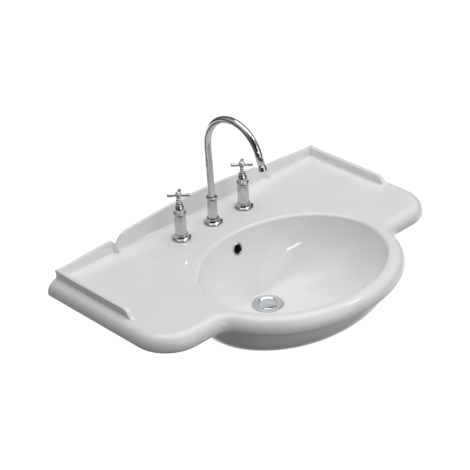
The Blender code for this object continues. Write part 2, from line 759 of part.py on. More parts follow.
def build_waste():
    at = (0, DRAIN_Y, 0)
    seat = -BOWL_FLOOR - FLANGE_SEAT
    seal_top = seat + GAP + SEAL_H
    ring_piece("waste_flange_seal", FLANGE_R - 0.002, DRAIN_R, seat + GAP, seal_top, RUBBER, at)
    under = seal_top + GAP
    rim = -BOWL_FLOOR + 0.0015
    dish = rim - DISH_DEPTH
    throat = rim - THROAT_DEPTH
    body = turned(
        "waste_body",
        [(FLANGE_R - 0.0015, rim), (FLANGE_R, rim - 0.001), (FLANGE_R, under), (WASTE_BODY_R, under),
         (WASTE_BODY_R, seat - WASTE_LENGTH)],
        CHROME,
        at,
        bore=[(FLANGE_R - 0.004, rim), (PLUG_R + 0.003, dish + 0.002), (PLUG_R + 0.0008, dish),
              (WASTE_BORE_R, throat), (WASTE_BORE_R, seat - WASTE_LENGTH)],
        steps=28,
    )
    slot = bpy.data.meshes.new("overflow_slot")
    work = bmesh.new()
    bmesh.ops.create_cube(work, size=1.0)
    bmesh.ops.scale(work, vec=(OVERFLOW_SLOT, 3 * WASTE_BODY_R, OVERFLOW_SLOT), verts=work.verts)
    work.to_mesh(slot)
    work.free()
    slots = cutter(place("overflow_slot", slot, CHROME, (0, DRAIN_Y, seat - CHANNEL_R - 0.003)))
    boolean(body, slots, "DIFFERENCE")

    boss = -BOWL_FLOOR - BOWL_WALL - BOSS_DROP
    inner = WASTE_BODY_R + GAP
    seal_low = boss - GAP - WASTE_SEAL_H
    ring_piece("waste_under_seal", WASTE_SEAL_R, inner, seal_low, boss - GAP, RUBBER, at)
    nut_top = seal_low - GAP
    ring_piece("waste_backnut", BACKNUT_R, inner, nut_top - BACKNUT_H, nut_top, BRASS, at, FACETS)

    guide_top = seat - GUIDE_DROP
    ring = WASTE_BORE_R - GAP
    guide = ring_piece("plug_guide", ring, ring - 0.002, guide_top - GUIDE_H, guide_top, PLASTIC, at)
    bar = bpy.data.meshes.new("guide_bar")
    work = bmesh.new()
    bmesh.ops.create_cube(work, size=1.0)
    bmesh.ops.scale(work, vec=(2 * ring - 0.002, 4 * STEM_R, 0.8 * GUIDE_H), verts=work.verts)
    work.to_mesh(bar)
    work.free()
    middle = guide_top - GUIDE_H / 2
    boolean(guide, cutter(place("guide_bar", bar, PLASTIC, (0, DRAIN_Y, middle))), "UNION")
    stem_hole = rod_cutter("stem_hole", STEM_R + RUNNING_GAP, -GUIDE_H, GUIDE_H, (0, DRAIN_Y, middle))
    boolean(guide, stem_hole, "DIFFERENCE")

    plug_low = dish + 0.0010
    dome = plug_low + PLUG_EDGE
    steps = [(PLUG_R * math.sin(turn), dome + PLUG_DOME * math.cos(turn)) for turn in (0.35, 0.75, 1.15)]
    turned(
        "waste_plug",
        [*steps, (PLUG_R, dome), (PLUG_R, plug_low), (PLUG_R - 0.004, plug_low - 0.0005),
         (STEM_R + 0.003, plug_low - 0.0005)],
        CHROME,
        at,
        steps=28,
    )
    stem_top = plug_low - 0.0005 - GAP
    stem_bottom = guide_top - GUIDE_H - PLUG_TRAVEL - STEM_SPARE
    collar = stem_top - STEM_COLLAR_H
    collar_r = SPRING_R + 0.0015
    turned(
        "plug_stem",
        [(collar_r, stem_top), (collar_r, collar), (STEM_R, collar), (STEM_R, stem_bottom)],
        BRASS,
        at,
        steps=12,
    )
    o_ring_at = (0, DRAIN_Y, stem_top - 2 * O_RING_R)
    torus("plug_o_ring", collar_r + O_RING_R + 2 * GAP, O_RING_R, RUBBER, o_ring_at)
    build_spring(guide_top + GAP, collar - GAP)
    moving_group("plug_lift_axis", at, ("waste_plug", "plug_stem", "plug_o_ring"))


def torus(name, major, minor, finish, at):
    circle = [
        (major + minor * math.cos(turn), minor * math.sin(turn))
        for turn in (-2 * math.pi * step / 8 for step in range(8))
    ]
    return turned(name, circle, finish, at, bore=[], steps=SMALL_ROUND)


def build_spring(low, high):
    """The coil that lifts the plug when its catch lets go."""
    count = SPRING_TURNS * 8
    middle_low, middle_high = low + SPRING_WIRE_R, high - SPRING_WIRE_R
    points = []
    for step in range(count + 1):
        turn = 2 * math.pi * SPRING_TURNS * step / count
        height = middle_low + (middle_high - middle_low) * step / count
        points.append((SPRING_R * math.cos(turn), SPRING_R * math.sin(turn), height))
    swept("plug_spring", points, SPRING_WIRE_R, STEEL, (0, DRAIN_Y, 0), sides_level=1)


# ---- Taps --------------------------------------------------------------------------------------


def build_foot(prefix, x, column_r, bore_r):
    """The faceted foot, its seal on the deck and the faceted column that stands on it."""
    at = (x, TAP_Y, 0)
    ring_piece(f"{prefix}_deck_seal", FOOT_R - 0.0035, TAP_HOLE_R, GAP, GAP + SEAL_H, RUBBER, at)
    low = 2 * GAP + SEAL_H
    neck = max(FOOT_NECK_R, column_r + 0.001)
    faceted_bore = bore_r / math.cos(math.pi / FACETS)
    turned(
        f"{prefix}_foot",
        [(neck, FOOT_H), (neck, FOOT_H - 0.002), (neck + 0.0015, FOOT_H - 0.004),
         (neck + 0.003, FOOT_H - 0.006), (FOOT_R - 0.0015, FOOT_H - 0.009), (FOOT_R, FOOT_H - 0.010),
         (FOOT_R, low)],
        CHROME,
        at,
        bore=[(faceted_bore, FOOT_H), (faceted_bore, low)],
        steps=FACETS,
        turn=(0, 0, FACET_TURN),
    )
    base = FOOT_H + GAP
    turned(
        f"{prefix}_column",
        [(column_r - 0.0006, COLUMN_TOP), (column_r, base)],
        CHROME,
        at,
        bore=[(faceted_bore, COLUMN_TOP), (faceted_bore, base)],
        steps=FACETS,
        turn=(0, 0, FACET_TURN),
    )


def build_fixings(prefix, x, shank_r):
    """The rubber washer and the locknut under the deck."""
    at = (x, TAP_Y, 0)
    inner = shank_r + RUNNING_GAP
    top = -DECK_THICKNESS - GAP
    ring_piece(f"{prefix}_rubber_washer", WASHER_R, inner, top - WASHER_H, top, RUBBER, at)
    nut_top = top - WASHER_H - GAP
    ring_piece(f"{prefix}_locknut", NUT_R, inner, nut_top - NUT_H, nut_top, BRASS, at, 6)


def build_shank(name, x, shank_r, top, directions, bore_low=-2 * SHANK_DROP):
    """The tail through the deck, with a side port towards each direction, and a bore down to bore_low."""
    at = (x, TAP_Y, 0)
    shank = turned(name, [(shank_r, top), (shank_r, -SHANK_DROP)], BRASS, at, steps=16)
    port_at = (x, TAP_Y, -PORT_DROP)
    for direction in directions:
        axis = (direction, 0, 0)
        label = f"{name}_port_{'left' if direction < 0 else 'right'}"
        root = SHANK_BORE_R / 2
        aim = along_axis(axis, math.pi / 16)
        outer = turned(label, [(PORT_R, PORT_REACH), (PORT_R, root)], BRASS, port_at, steps=16, turn=aim)
        boolean(shank, cutter(outer), "UNION")
    boolean(shank, rod_cutter(f"{name}_bore", SHANK_BORE_R, bore_low, SHANK_DROP, at), "DIFFERENCE")
    for direction in directions:
        label = f"{name}_port_bore_{'left' if direction < 0 else 'right'}"
        bore = rod_cutter(label, LINK_R, SHANK_BORE_R / 3, 2 * PORT_REACH, port_at, (direction, 0, 0))
        boolean(shank, bore, "DIFFERENCE")


def build_spout_points():
    """Middle line of the swan neck: up, a slight lean back, the bend and a short straight tail."""
    points = [Vector((0, 0, SPOUT_STUB_BOTTOM)), Vector((0, 0, SPOUT_STUB))]
    turn = SPOUT_LEAN
    at = points[-1].copy()

    def heading(angle):
        return Vector((0, -math.sin(angle), math.cos(angle)))

    for _ in range(2):
        at = at + heading(turn) * (SPOUT_RISE / 2)
        points.append(at)
    steps = 14
    each = (SPOUT_OUTLET_TURN - SPOUT_LEAN) / steps
    chord = 2 * SPOUT_BEND_R * math.sin(each / 2)
    for _ in range(steps):
        at = at + heading(turn + each / 2) * chord
        turn += each
        points.append(at)
    points.append(at + heading(turn) * SPOUT_TAIL)
    return points, heading(turn)


def build_spout():
    at = (0, TAP_Y, 0)
    build_foot("spout", 0.0, SPOUT_COLUMN_R, SPOUT_COLUMN_BORE_R)
    build_fixings("spout", 0.0, SPOUT_SHANK_R)
    shank_top = SPOUT_STUB_BOTTOM - 3 * GAP - WASHER_H
    bore_low = -PORT_DROP - LINK_R - PORT_FLOOR
    build_shank("spout_shank", 0.0, SPOUT_SHANK_R, shank_top, (-1, 1), bore_low)
    washer_top = SPOUT_STUB_BOTTOM - 2 * GAP
    ring_piece("spout_thrust_washer", SPOUT_SHANK_R, SHANK_BORE_R + RUNNING_GAP, washer_top - WASHER_H,
               washer_top, PLASTIC, at)
    collar = COLUMN_TOP + GAP
    collar_r = SPOUT_COLUMN_R + 0.0022
    turned(
        "spout_collar",
        [(collar_r - 0.001, collar + COLLAR_H), (collar_r, collar + COLLAR_H - 0.001),
         (collar_r, collar)],
        CHROME,
        at,
        bore=[(SPOUT_R + RUNNING_GAP, collar + COLLAR_H), (SPOUT_R + RUNNING_GAP, collar)],
        steps=24,
    )
    middle = SPOUT_R + GAP + SPOUT_RING_R
    for label, height in zip(("lower", "upper"), SPOUT_RING_HEIGHTS):
        torus(f"spout_o_ring_{label}", middle, SPOUT_RING_R, RUBBER, (0, TAP_Y, height))
    points, outward = build_spout_points()
    tube = swept("spout_tube", points, SPOUT_R, CHROME, at, sides_level=5)
    longer = [points[0] - Vector((0, 0, 0.002)), *points[1:-1], points[-1] + outward * 0.002]
    bore = cutter(swept("spout_bore", longer, SPOUT_BORE_R, CHROME, at, sides_level=3))
    boolean(tube, bore, "DIFFERENCE")
    end = Vector(at) + points[-1]
    aim = along_axis(outward)
    seat_r = SPOUT_BORE_R + 0.0012
    turned(
        "aerator_housing",
        [(AERATOR_R - 0.0008, GAP + AERATOR_L), (AERATOR_R, GAP + AERATOR_L - 0.001),
         (AERATOR_R, GAP + 0.001), (AERATOR_R - 0.0008, GAP)],
        CHROME,
        end,
        bore=[(seat_r, GAP + AERATOR_L), (seat_r, GAP + 0.002), (SPOUT_BORE_R, GAP + 0.002),
              (SPOUT_BORE_R, GAP)],
        steps=16,
        turn=aim,
    )
    insert = [(seat_r - GAP, AERATOR_L - 0.001), (seat_r - GAP, AERATOR_L / 2)]
    turned("aerator_insert", insert, PLASTIC, end, steps=SMALL_ROUND, turn=aim)
    moving_group("spout_swivel_axis", at, ("spout_tube", "aerator_housing", "aerator_insert"))


def build_handle(prefix, x):
    """Cross handle: a hub with a slim neck over the spindle, and two crossed arms with round ends."""
    at = (x, TAP_Y, HANDLE_Z)
    neck_low = COLUMN_TOP + GAP + COLLAR_H + GAP + BONNET_H + 2 * GAP - HANDLE_Z
    hub = turned(
        f"{prefix}_cross_handle",
        [(HUB_R - 0.002, HUB_HALF), (HUB_R, HUB_HALF - 0.002), (HUB_R, 0.002 - HUB_HALF),
         (NECK_R, -HUB_HALF), (NECK_R - 0.0006, neck_low + 0.004), (NECK_R + 0.0012, neck_low)],
        CHROME,
        at,
        steps=16,
    )
    half = ARM_SPAN / 2
    for index in range(2):
        profile = [(ARM_TIP_R - 0.0016, half), (ARM_TIP_R, half - 0.0018),
                   (ARM_TIP_R - 0.0004, half - 0.0042), (ARM_R, half - 0.0075), (ARM_R + 0.0004, 0.0)]
        profile += [(radius, -height) for radius, height in reversed(profile[:-1])]
        turn = REST_ANGLE + index * math.pi / 2
        axis = (math.cos(turn), math.sin(turn), 0)
        arm = turned(f"{prefix}_arm_{index}", profile, CHROME, at, steps=10, turn=along_axis(axis))
        boolean(hub, cutter(arm), "UNION")
    bore = rod_cutter(f"{prefix}_hub_bore", SPINDLE_R + GAP, neck_low - 0.01, HUB_HALF - HUB_LID, at)
    boolean(hub, bore, "DIFFERENCE")
    base = HUB_HALF + GAP
    turned(
        f"{prefix}_handle_finial",
        [(0.0012, base + FINIAL_H), (0.0024, base + FINIAL_H - 0.001), (0.0026, base + FINIAL_H - 0.003),
         (0.0016, base + 0.006), (0.0042, base + 0.003), (0.0048, base)],
        CHROME,
        at,
        steps=12,
    )


def build_valve(prefix, x):
    """One side valve, from its tail under the deck to its handle."""
    at = (x, TAP_Y, 0)
    inward = -1 if x > 0 else 1
    build_foot(f"{prefix}_valve", x, VALVE_COLUMN_R, COLUMN_BORE_R)
    build_fixings(f"{prefix}_valve", x, SHANK_R)
    cartridge_low = FOOT_H + GAP + 0.008
    build_shank(f"{prefix}_valve_tail", x, SHANK_R, cartridge_low - GAP, (inward,))
    collar = COLUMN_TOP + GAP
    collar_r = VALVE_COLUMN_R + 0.0018
    turned(
        f"{prefix}_valve_collar",
        [(collar_r - 0.001, collar + COLLAR_H), (collar_r, collar + COLLAR_H - 0.001),
         (collar_r, collar)],
        CHROME,
        at,
        bore=[(COLUMN_BORE_R, collar + COLLAR_H), (COLUMN_BORE_R, collar)],
        steps=24,
    )
    low = collar + COLLAR_H + GAP
    top = low + BONNET_H
    spindle_hole = SPINDLE_R + RUNNING_GAP
    turned(
        f"{prefix}_valve_bonnet",
        [(NECK_R + 0.0012, top), (NECK_R + 0.0022, top - 0.003), (0.0098, top - 0.007),
         (0.0118, top - 0.012), (0.0120, top - 0.016), (BONNET_R, top - 0.018), (BONNET_R, low)],
        CHROME,
        at,
        bore=[(spindle_hole, top), (spindle_hole, top - 0.004), (0.0080, top - 0.009), (0.0095, low)],
        steps=ROUND,
    )
    cartridge_top = cartridge_low + CARTRIDGE_H
    turned(
        f"{prefix}_cartridge",
        [(CARTRIDGE_R, cartridge_top), (CARTRIDGE_R, cartridge_low)],
        BRASS,
        at,
        bore=[(spindle_hole, cartridge_top), (spindle_hole, cartridge_top - CARTRIDGE_LID),
              (CARTRIDGE_BORE_R, cartridge_top - CARTRIDGE_LID), (CARTRIDGE_BORE_R, cartridge_low)],
        steps=SMALL_ROUND,
    )
    fixed = cartridge_low + GAP
    ring_piece(f"{prefix}_fixed_disc", DISC_R, DISC_PORT_R, fixed, fixed + DISC_H, ALUMINA, at)
    moving = fixed + DISC_H + GAP
    turning_r = DISC_R - GAP
    ring_piece(f"{prefix}_moving_disc", turning_r, DISC_PORT_R, moving, moving + DISC_H, ALUMINA, at)
    carrier = moving + DISC_H + GAP
    turned(
        f"{prefix}_spindle",
        [(SPINDLE_R, HANDLE_Z + HUB_HALF - HUB_LID - 2 * GAP), (SPINDLE_R, carrier + CARRIER_H),
         (turning_r, carrier + CARRIER_H), (turning_r, carrier)],
        BRASS,
        at,
        steps=12,
    )
    build_handle(prefix, x)
    turning = ("cross_handle", "handle_finial", "spindle", "moving_disc")
    moving_group(f"{prefix}_handle_axis", (x, TAP_Y, HANDLE_Z), [f"{prefix}_{end}" for end in turning])


def build_links():
    """The two short pipes that carry hot and cold across to the spout, with a union nut at each end."""
    for prefix, side in (("hot", -1), ("cold", 1)):
        outer = TAP_SPACING - PORT_REACH - GAP
        inner = PORT_REACH + GAP
        at = (0, TAP_Y, -PORT_DROP)
        aim = along_axis((side, 0, 0))
        turned(f"{prefix}_link_pipe", [(LINK_R, outer), (LINK_R, inner)], BRASS, at,
               [(LINK_R - 0.001, outer), (LINK_R - 0.001, inner)], 12, aim)
        for label, face, sign in (("spout", inner, 1), ("valve", outer, -1)):
            lip = face + sign * LINK_NUT_L * 0.4
            skirt = face - sign * LINK_NUT_L * 0.6
            step = face + sign * 0.0006
            outline = [(LINK_NUT_R, max(lip, skirt)), (LINK_NUT_R, min(lip, skirt))]
            wide, narrow = ((radius + GAP) / math.cos(math.pi / 6) for radius in (PORT_R, LINK_R))
            bore = [(wide, skirt), (wide, step), (narrow, step), (narrow, lip)]
            if sign > 0:
                bore.reverse()
            turned(f"{prefix}_link_nut_{label}", outline, BRASS, at, bore, 6, aim)


clear_scene()
PARTS = make_collection("console_basin")
CUTTERS = make_collection("cutters")
overflow_point, overflow_outward = build_basin()
build_overflow_ring(overflow_point, overflow_outward)
build_waste()
build_spout()
for valve_name, valve_x in (("hot", -TAP_SPACING), ("cold", TAP_SPACING)):
    build_valve(valve_name, valve_x)
build_links()
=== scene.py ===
# %% [markdown]
# # A china washbasin with a swan-neck tap set
#
# The engineering model gives every piece its place and its joints. This lesson gives the visible pieces
# their fine shape and finish: smooth glazed china, and chrome plate that turns, bends and meets the china
# as the real fittings do. All lengths are in metres, X runs along the wall, -Y out from it and +Z up.

# %% Load the frame
import json
import math

import bmesh
import bpy
from mathutils import Matrix, Vector


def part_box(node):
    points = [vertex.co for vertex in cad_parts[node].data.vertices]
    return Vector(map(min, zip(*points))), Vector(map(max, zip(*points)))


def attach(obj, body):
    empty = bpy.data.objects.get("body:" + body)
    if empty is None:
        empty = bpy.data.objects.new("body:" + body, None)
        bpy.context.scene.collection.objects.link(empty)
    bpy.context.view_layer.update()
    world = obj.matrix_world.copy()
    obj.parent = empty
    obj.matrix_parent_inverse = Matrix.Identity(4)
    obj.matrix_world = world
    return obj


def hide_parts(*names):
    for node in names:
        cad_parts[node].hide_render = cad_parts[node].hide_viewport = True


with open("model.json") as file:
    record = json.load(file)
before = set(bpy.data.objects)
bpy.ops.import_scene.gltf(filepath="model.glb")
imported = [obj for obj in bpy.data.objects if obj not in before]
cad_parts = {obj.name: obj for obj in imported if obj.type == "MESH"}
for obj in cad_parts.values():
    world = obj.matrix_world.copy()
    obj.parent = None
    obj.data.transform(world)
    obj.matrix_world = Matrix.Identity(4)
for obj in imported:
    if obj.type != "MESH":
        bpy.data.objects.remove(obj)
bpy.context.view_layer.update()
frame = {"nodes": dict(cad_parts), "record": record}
BASIN_LOW, BASIN_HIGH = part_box("basin")

# %% [markdown]
# ## Helpers for shapes
#
# A turned piece starts as a profile, one edge chain in the XZ plane, which `spin` sweeps round the Z axis.
# An octagonal casting is the same spin in eight steps. `recalc_face_normals` comes after the seam is merged,
# so that every face points outwards, and a shallow edge is shaded smooth while a real corner stays crisp.

# %% Finished pieces
SMOOTH_ANGLE = math.radians(38)


def finished(name, work, body, finish, nodes=(), smooth=SMOOTH_ANGLE):
    """Makes the bmesh a piece that rides on a body, takes a slot's finish and stands for CAD nodes."""
    mesh = bpy.data.meshes.new(name)
    work.to_mesh(mesh)
    work.free()
    mesh.shade_smooth()
    mesh.set_sharp_from_angle(angle=smooth)
    piece = bpy.data.objects.new(name, mesh)
    bpy.context.scene.collection.objects.link(piece)
    mesh.materials.append(finish)
    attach(piece, body)
    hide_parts(*nodes)
    print(name, "rides on", body, "with", len(mesh.polygons), "faces")
    return piece


def closed(work, weld=1e-6):
    """Merges a seam and points the faces outwards."""
    bmesh.ops.remove_doubles(work, verts=work.verts, dist=weld)
    bmesh.ops.recalc_face_normals(work, faces=work.faces)
    return work


def spun(profile, steps=64, ring=True, turn=0.0):
    """A profile of (radius, height) spun round Z. A ring's profile closes on itself; a solid's ends lie on
    the axis."""
    work = bmesh.new()
    points = [work.verts.new((radius, 0.0, height)) for radius, height in profile]
    edges = [work.edges.new(pair) for pair in zip(points, points[1:])]
    if ring:
        edges.append(work.edges.new((points[-1], points[0])))
    bmesh.ops.spin(
        work,
        geom=points + edges,
        cent=(0, 0, 0),
        axis=(0, 0, 1),
        angle=2 * math.pi,
        steps=steps,
        use_merge=True,
        use_duplicate=False,
    )
    closed(work)
    if turn:
        bmesh.ops.rotate(work, verts=work.verts, cent=(0, 0, 0), matrix=Matrix.Rotation(turn, 3, "Z"))
    return work


def arc(centre, radii, start, end, steps):
    """Points of an elliptical arc in a profile, from start to end degrees."""
    found = []
    for step in range(steps + 1):
        angle = math.radians(start + (end - start) * step / steps)
        found.append((centre[0] + radii[0] * math.cos(angle), centre[1] + radii[1] * math.sin(angle)))
    return found


def moved(work, at, aim=None):
    """Turns +Z to the direction aim, then moves the bmesh to its place."""
    if aim is not None:
        turn = Vector(aim).to_track_quat("Z", "Y").to_matrix()
        bmesh.ops.rotate(work, verts=work.verts, cent=(0, 0, 0), matrix=turn)
    bmesh.ops.translate(work, verts=work.verts, vec=Vector(at))
    return work


def combined(piece, tool_work, operation):
    """Joins another closed shape to a piece, or cuts it out, and keeps the result as the piece's mesh."""
    mesh = bpy.data.meshes.new("tool")
    tool_work.to_mesh(mesh)
    tool_work.free()
    tool = bpy.data.objects.new("tool", mesh)
    bpy.context.scene.collection.objects.link(tool)
    modifier = piece.modifiers.new("tool", "BOOLEAN")
    modifier.object = tool
    modifier.operation = operation
    bpy.context.view_layer.update()
    result = bpy.data.meshes.new_from_object(piece.evaluated_get(bpy.context.evaluated_depsgraph_get()))
    piece.modifiers.remove(modifier)
    piece.data = result
    bpy.data.objects.remove(tool, do_unlink=True)
    piece.data.shade_smooth()
    piece.data.set_sharp_from_angle(angle=SMOOTH_ANGLE)
    return piece


print("helpers ready")

# %% [markdown]
# ## Helpers for finishes
#
# Colours are written as sRGB hex, as a paint chart gives them, and one function turns them to the linear
# values that the shader works in. One more function adds any node with its settings and links.

# %% Colours and nodes


def linear(hex_colour):
    """sRGB hex to linear RGBA."""
    found = []
    for start in (1, 3, 5):
        value = int(hex_colour[start : start + 2], 16) / 255
        found.append(value / 12.92 if value <= 0.04045 else ((value + 0.055) / 1.055) ** 2.4)
    return (*found, 1.0)


def add_node(tree, kind, settings=None, inputs=None):
    """Adds a node. settings are its attributes; inputs are values, or another node's output socket."""
    node = tree.nodes.new(kind)
    for name, value in (settings or {}).items():
        setattr(node, name, value)
    for name, value in (inputs or {}).items():
        if isinstance(value, bpy.types.NodeSocket):
            tree.links.new(value, node.inputs[name])
        else:
            node.inputs[name].default_value = value
    return node


def new_finish(name):
    """A material with its Principled shader and the Object coordinates that its patterns read."""
    made = bpy.data.materials.new(name)
    made.use_nodes = True
    tree = made.node_tree
    shader = tree.nodes["Principled BSDF"]
    where = add_node(tree, "ShaderNodeTexCoord")
    return made, tree, shader, where.outputs["Object"]


def varied(tree, coordinates, size_mm, low, high, detail=3.0):
    """A soft noise of this feature size, mapped to lie between low and high."""
    noise = add_node(
        tree,
        "ShaderNodeTexNoise",
        {},
        {"Vector": coordinates, "Scale": 1000.0 / size_mm, "Detail": detail, "Roughness": 0.5},
    )
    spread = {"Value": noise.outputs["Fac"], "From Min": 0.3, "From Max": 0.7, "To Min": low, "To Max": high}
    return add_node(tree, "ShaderNodeMapRange", {}, spread).outputs["Result"]


def tinted(tree, coordinates, size_mm, first, second):
    """A colour that drifts between two close hex values over patches of this size."""
    share = varied(tree, coordinates, size_mm, 0.0, 1.0)
    mixer = tree.nodes.new("ShaderNodeMix")
    mixer.data_type = "RGBA"
    tree.links.new(share, mixer.inputs[0])
    mixer.inputs[6].default_value = linear(first)
    mixer.inputs[7].default_value = linear(second)
    return mixer.outputs[2]


def bumped(tree, height, distance_mm, strength=0.5):
    """A bump from a height pattern."""
    settings = {"Height": height, "Distance": distance_mm / 1000.0, "Strength": strength}
    return add_node(tree, "ShaderNodeBump", {}, settings).outputs["Normal"]


print("finish helpers ready")

# %% [markdown]
# ## Vitreous china
#
# The body is slip-cast clay fired to glass hardness, and its white is in the opaque glaze, about half a
# millimetre thick. The eye sees a soft white from the body of the glaze and a sharp, colourless reflection
# from its surface, so the shader is a white dielectric with a clear coat. Glaze flows as it melts, which
# leaves a very long, shallow waviness: a bump of a few hundredths of a millimetre over some centimetres.

# %% Glazed china
china, tree, shader, spot = new_finish("glazed_vitreous_china")
tree.links.new(tinted(tree, spot, 90, "#f0f0f0", "#ececec"), shader.inputs["Base Color"])
tree.links.new(varied(tree, spot, 40, 0.34, 0.42), shader.inputs["Roughness"])
shader.inputs["IOR"].default_value = 1.5
# The clay has no polished surface of its own under the glaze, so nearly all of the gloss is the coat's.
shader.inputs["Specular IOR Level"].default_value = 0.1
shader.inputs["Coat Weight"].default_value = 0.8
shader.inputs["Coat Roughness"].default_value = 0.02
shader.inputs["Coat IOR"].default_value = 1.52
tree.links.new(bumped(tree, varied(tree, spot, 45, 0.0, 1.0, 1.0), 0.04), shader.inputs["Normal"])
print(china.name)

# %% [markdown]
# ## Chrome plate
#
# Brass is polished to a mirror, plated with nickel and then with a film of chromium. The colour is a cool,
# slightly dark silver. The only variation left is the faint drift of hand polishing, in the roughness.

# %% Chrome plate
chrome, tree, shader, spot = new_finish("polished_chrome_plate")
shader.inputs["Metallic"].default_value = 1.0
tree.links.new(tinted(tree, spot, 25, "#ccced0", "#c3c6c9"), shader.inputs["Base Color"])
tree.links.new(varied(tree, spot, 12, 0.03, 0.07), shader.inputs["Roughness"])
print(chrome.name)

# %% [markdown]
# ## The finishes that hide under the deck
#
# Brass tails and nuts are left as they came off the lathe, dulled a little by air. Washers and O-rings are
# moulded black rubber, the sliding rings are white acetal, the valve discs are lapped alumina and the spring
# is drawn stainless wire. They are seen from behind and below.

# %% Brass, rubber, acetal, alumina and stainless
brass, tree, shader, spot = new_finish("turned_brass")
shader.inputs["Metallic"].default_value = 1.0
tree.links.new(tinted(tree, spot, 8, "#cfa85a", "#b98f45"), shader.inputs["Base Color"])
tree.links.new(varied(tree, spot, 5, 0.22, 0.38), shader.inputs["Roughness"])
# Lathe rings are about 0.15 mm apart; 0.8 mm is the finest that shows here.
rings = add_node(
    tree,
    "ShaderNodeTexWave",
    {"wave_type": "BANDS", "bands_direction": "Z"},
    {"Vector": spot, "Scale": 1000.0 / 0.8 / 20.0, "Distortion": 0.4},
)
tree.links.new(bumped(tree, rings.outputs["Fac"], 0.02, 0.3), shader.inputs["Normal"])

rubber, tree, shader, spot = new_finish("moulded_black_rubber")
tree.links.new(tinted(tree, spot, 6, "#1d1d1e", "#262627"), shader.inputs["Base Color"])
tree.links.new(varied(tree, spot, 3, 0.6, 0.8), shader.inputs["Roughness"])

acetal, tree, shader, spot = new_finish("white_acetal")
tree.links.new(tinted(tree, spot, 10, "#ecebe4", "#e2e0d8"), shader.inputs["Base Color"])
tree.links.new(varied(tree, spot, 4, 0.35, 0.45), shader.inputs["Roughness"])
shader.inputs["IOR"].default_value = 1.48

alumina, tree, shader, spot = new_finish("lapped_alumina")
tree.links.new(tinted(tree, spot, 5, "#f3f0e6", "#eae6da"), shader.inputs["Base Color"])
tree.links.new(varied(tree, spot, 2, 0.15, 0.25), shader.inputs["Roughness"])
shader.inputs["IOR"].default_value = 1.76

stainless, tree, shader, spot = new_finish("drawn_stainless_wire")
shader.inputs["Metallic"].default_value = 1.0
tree.links.new(tinted(tree, spot, 4, "#c3c5c7", "#b5b8bb"), shader.inputs["Base Color"])
tree.links.new(varied(tree, spot, 2, 0.25, 0.35), shader.inputs["Roughness"])

FINISHES = {
    "china": china,
    "chrome": chrome,
    "brass": brass,
    "rubber": rubber,
    "acetal": acetal,
    "alumina": alumina,
    "stainless": stainless,
}
for part in frame["record"]["subparts"]:
    node = frame["nodes"][part["node"]]
    node.data.materials.clear()
    node.data.materials.append(FINISHES[part["material_slot"]])
print("finishes:", sorted(FINISHES))

# %% [markdown]
# ## The outline of the basin
#
# From above, the china is a straight wall side, two square lobes with large round corners, a hollow curve on
# each side and an elliptical bow in the middle. Half the outline is enough, since the other half is its
# mirror. Each station on it holds a point and the direction that faces out, so that every other line of the
# basin is the same outline set in by some distance.

# %% Stations round half the outline
HALF_WIDTH = BASIN_HIGH.x
LOBE_DEPTH = 0.396
CORNER_R = 0.090
NOTCH_R = 0.040
BOW_HALF_WIDTH = 0.266
BOW_CENTRE = 0.360
BOW_HALF_DEPTH = -BASIN_LOW.y - BOW_CENTRE
UPSTAND_LENGTH = 0.262
UPSTAND_TAPER = 0.027


def bow_point(angle):
    """A point of the bow and its outward direction; angle is 0 at the front middle."""
    across, along = math.sin(angle), math.cos(angle)
    point = Vector((BOW_HALF_WIDTH * across, -BOW_CENTRE - BOW_HALF_DEPTH * along))
    return point, Vector((across / BOW_HALF_WIDTH, -along / BOW_HALF_DEPTH)).normalized()


def notch_angle():
    """Where on the bow the hollow curve that also touches the lobe's front meets it."""
    low, high = 0.2, math.pi / 2
    for _ in range(60):
        middle = (low + high) / 2
        point, outward = bow_point(middle)
        if -(point + outward * NOTCH_R).y - NOTCH_R > LOBE_DEPTH:
            low = middle
        else:
            high = middle
    return (low + high) / 2


def half_outline():
    """(point, outward, kind) from the middle of the wall side round to the middle of the bow."""
    wall_end = HALF_WIDTH - 0.040
    fine = [0.200 + 0.0025 * step for step in range(26)]
    coarse = [0.020 * step for step in range(10)] + [0.280, 0.300, 0.330, 0.360, wall_end - 0.012]
    found = [(Vector((x, 0.0)), Vector((0, 1)), "wall") for x in sorted(coarse + fine)]
    found.append((Vector((HALF_WIDTH, 0.0)), Vector((1, 1)), "corner"))
    tip = UPSTAND_LENGTH - UPSTAND_TAPER
    side = [0.045, 0.075, 0.110, 0.150, 0.190, tip - 0.012]
    side += [tip + UPSTAND_TAPER * step / 10 for step in range(13)]
    for y in side + [0.275, 0.290]:
        found.append((Vector((HALF_WIDTH, -y)), Vector((1, 0)), "edge"))
    centre = Vector((HALF_WIDTH - CORNER_R, CORNER_R - LOBE_DEPTH))
    for step in range(17):
        angle = math.radians(90) * step / 16
        outward = Vector((math.cos(angle), -math.sin(angle)))
        found.append((centre + outward * CORNER_R, outward, "edge"))
    meet = notch_angle()
    point, outward = bow_point(meet)
    centre = point + outward * NOTCH_R
    start, end = math.radians(-90), math.atan2(outward.y, outward.x)
    for step in range(13):
        angle = start + (end - start) * step / 12
        outward = Vector((math.cos(angle), math.sin(angle)))
        found.append((centre - outward * NOTCH_R, outward, "edge"))
    for step in range(1, 37):
        point, outward = bow_point(meet * (1 - step / 36))
        found.append((point, outward, "edge"))
    return found


STATIONS = half_outline()
print(len(STATIONS), "stations on half the outline")

# %% [markdown]
# ## The upstand and its crest
#
# A low wall keeps splashes on the deck. Along the sides it is 20 mm high and tapers down at its front tip.
# Along the wall it rises to a small hump, turns forward into a pointed curl, dips, and then the arched crest
# sweeps up behind the taps.

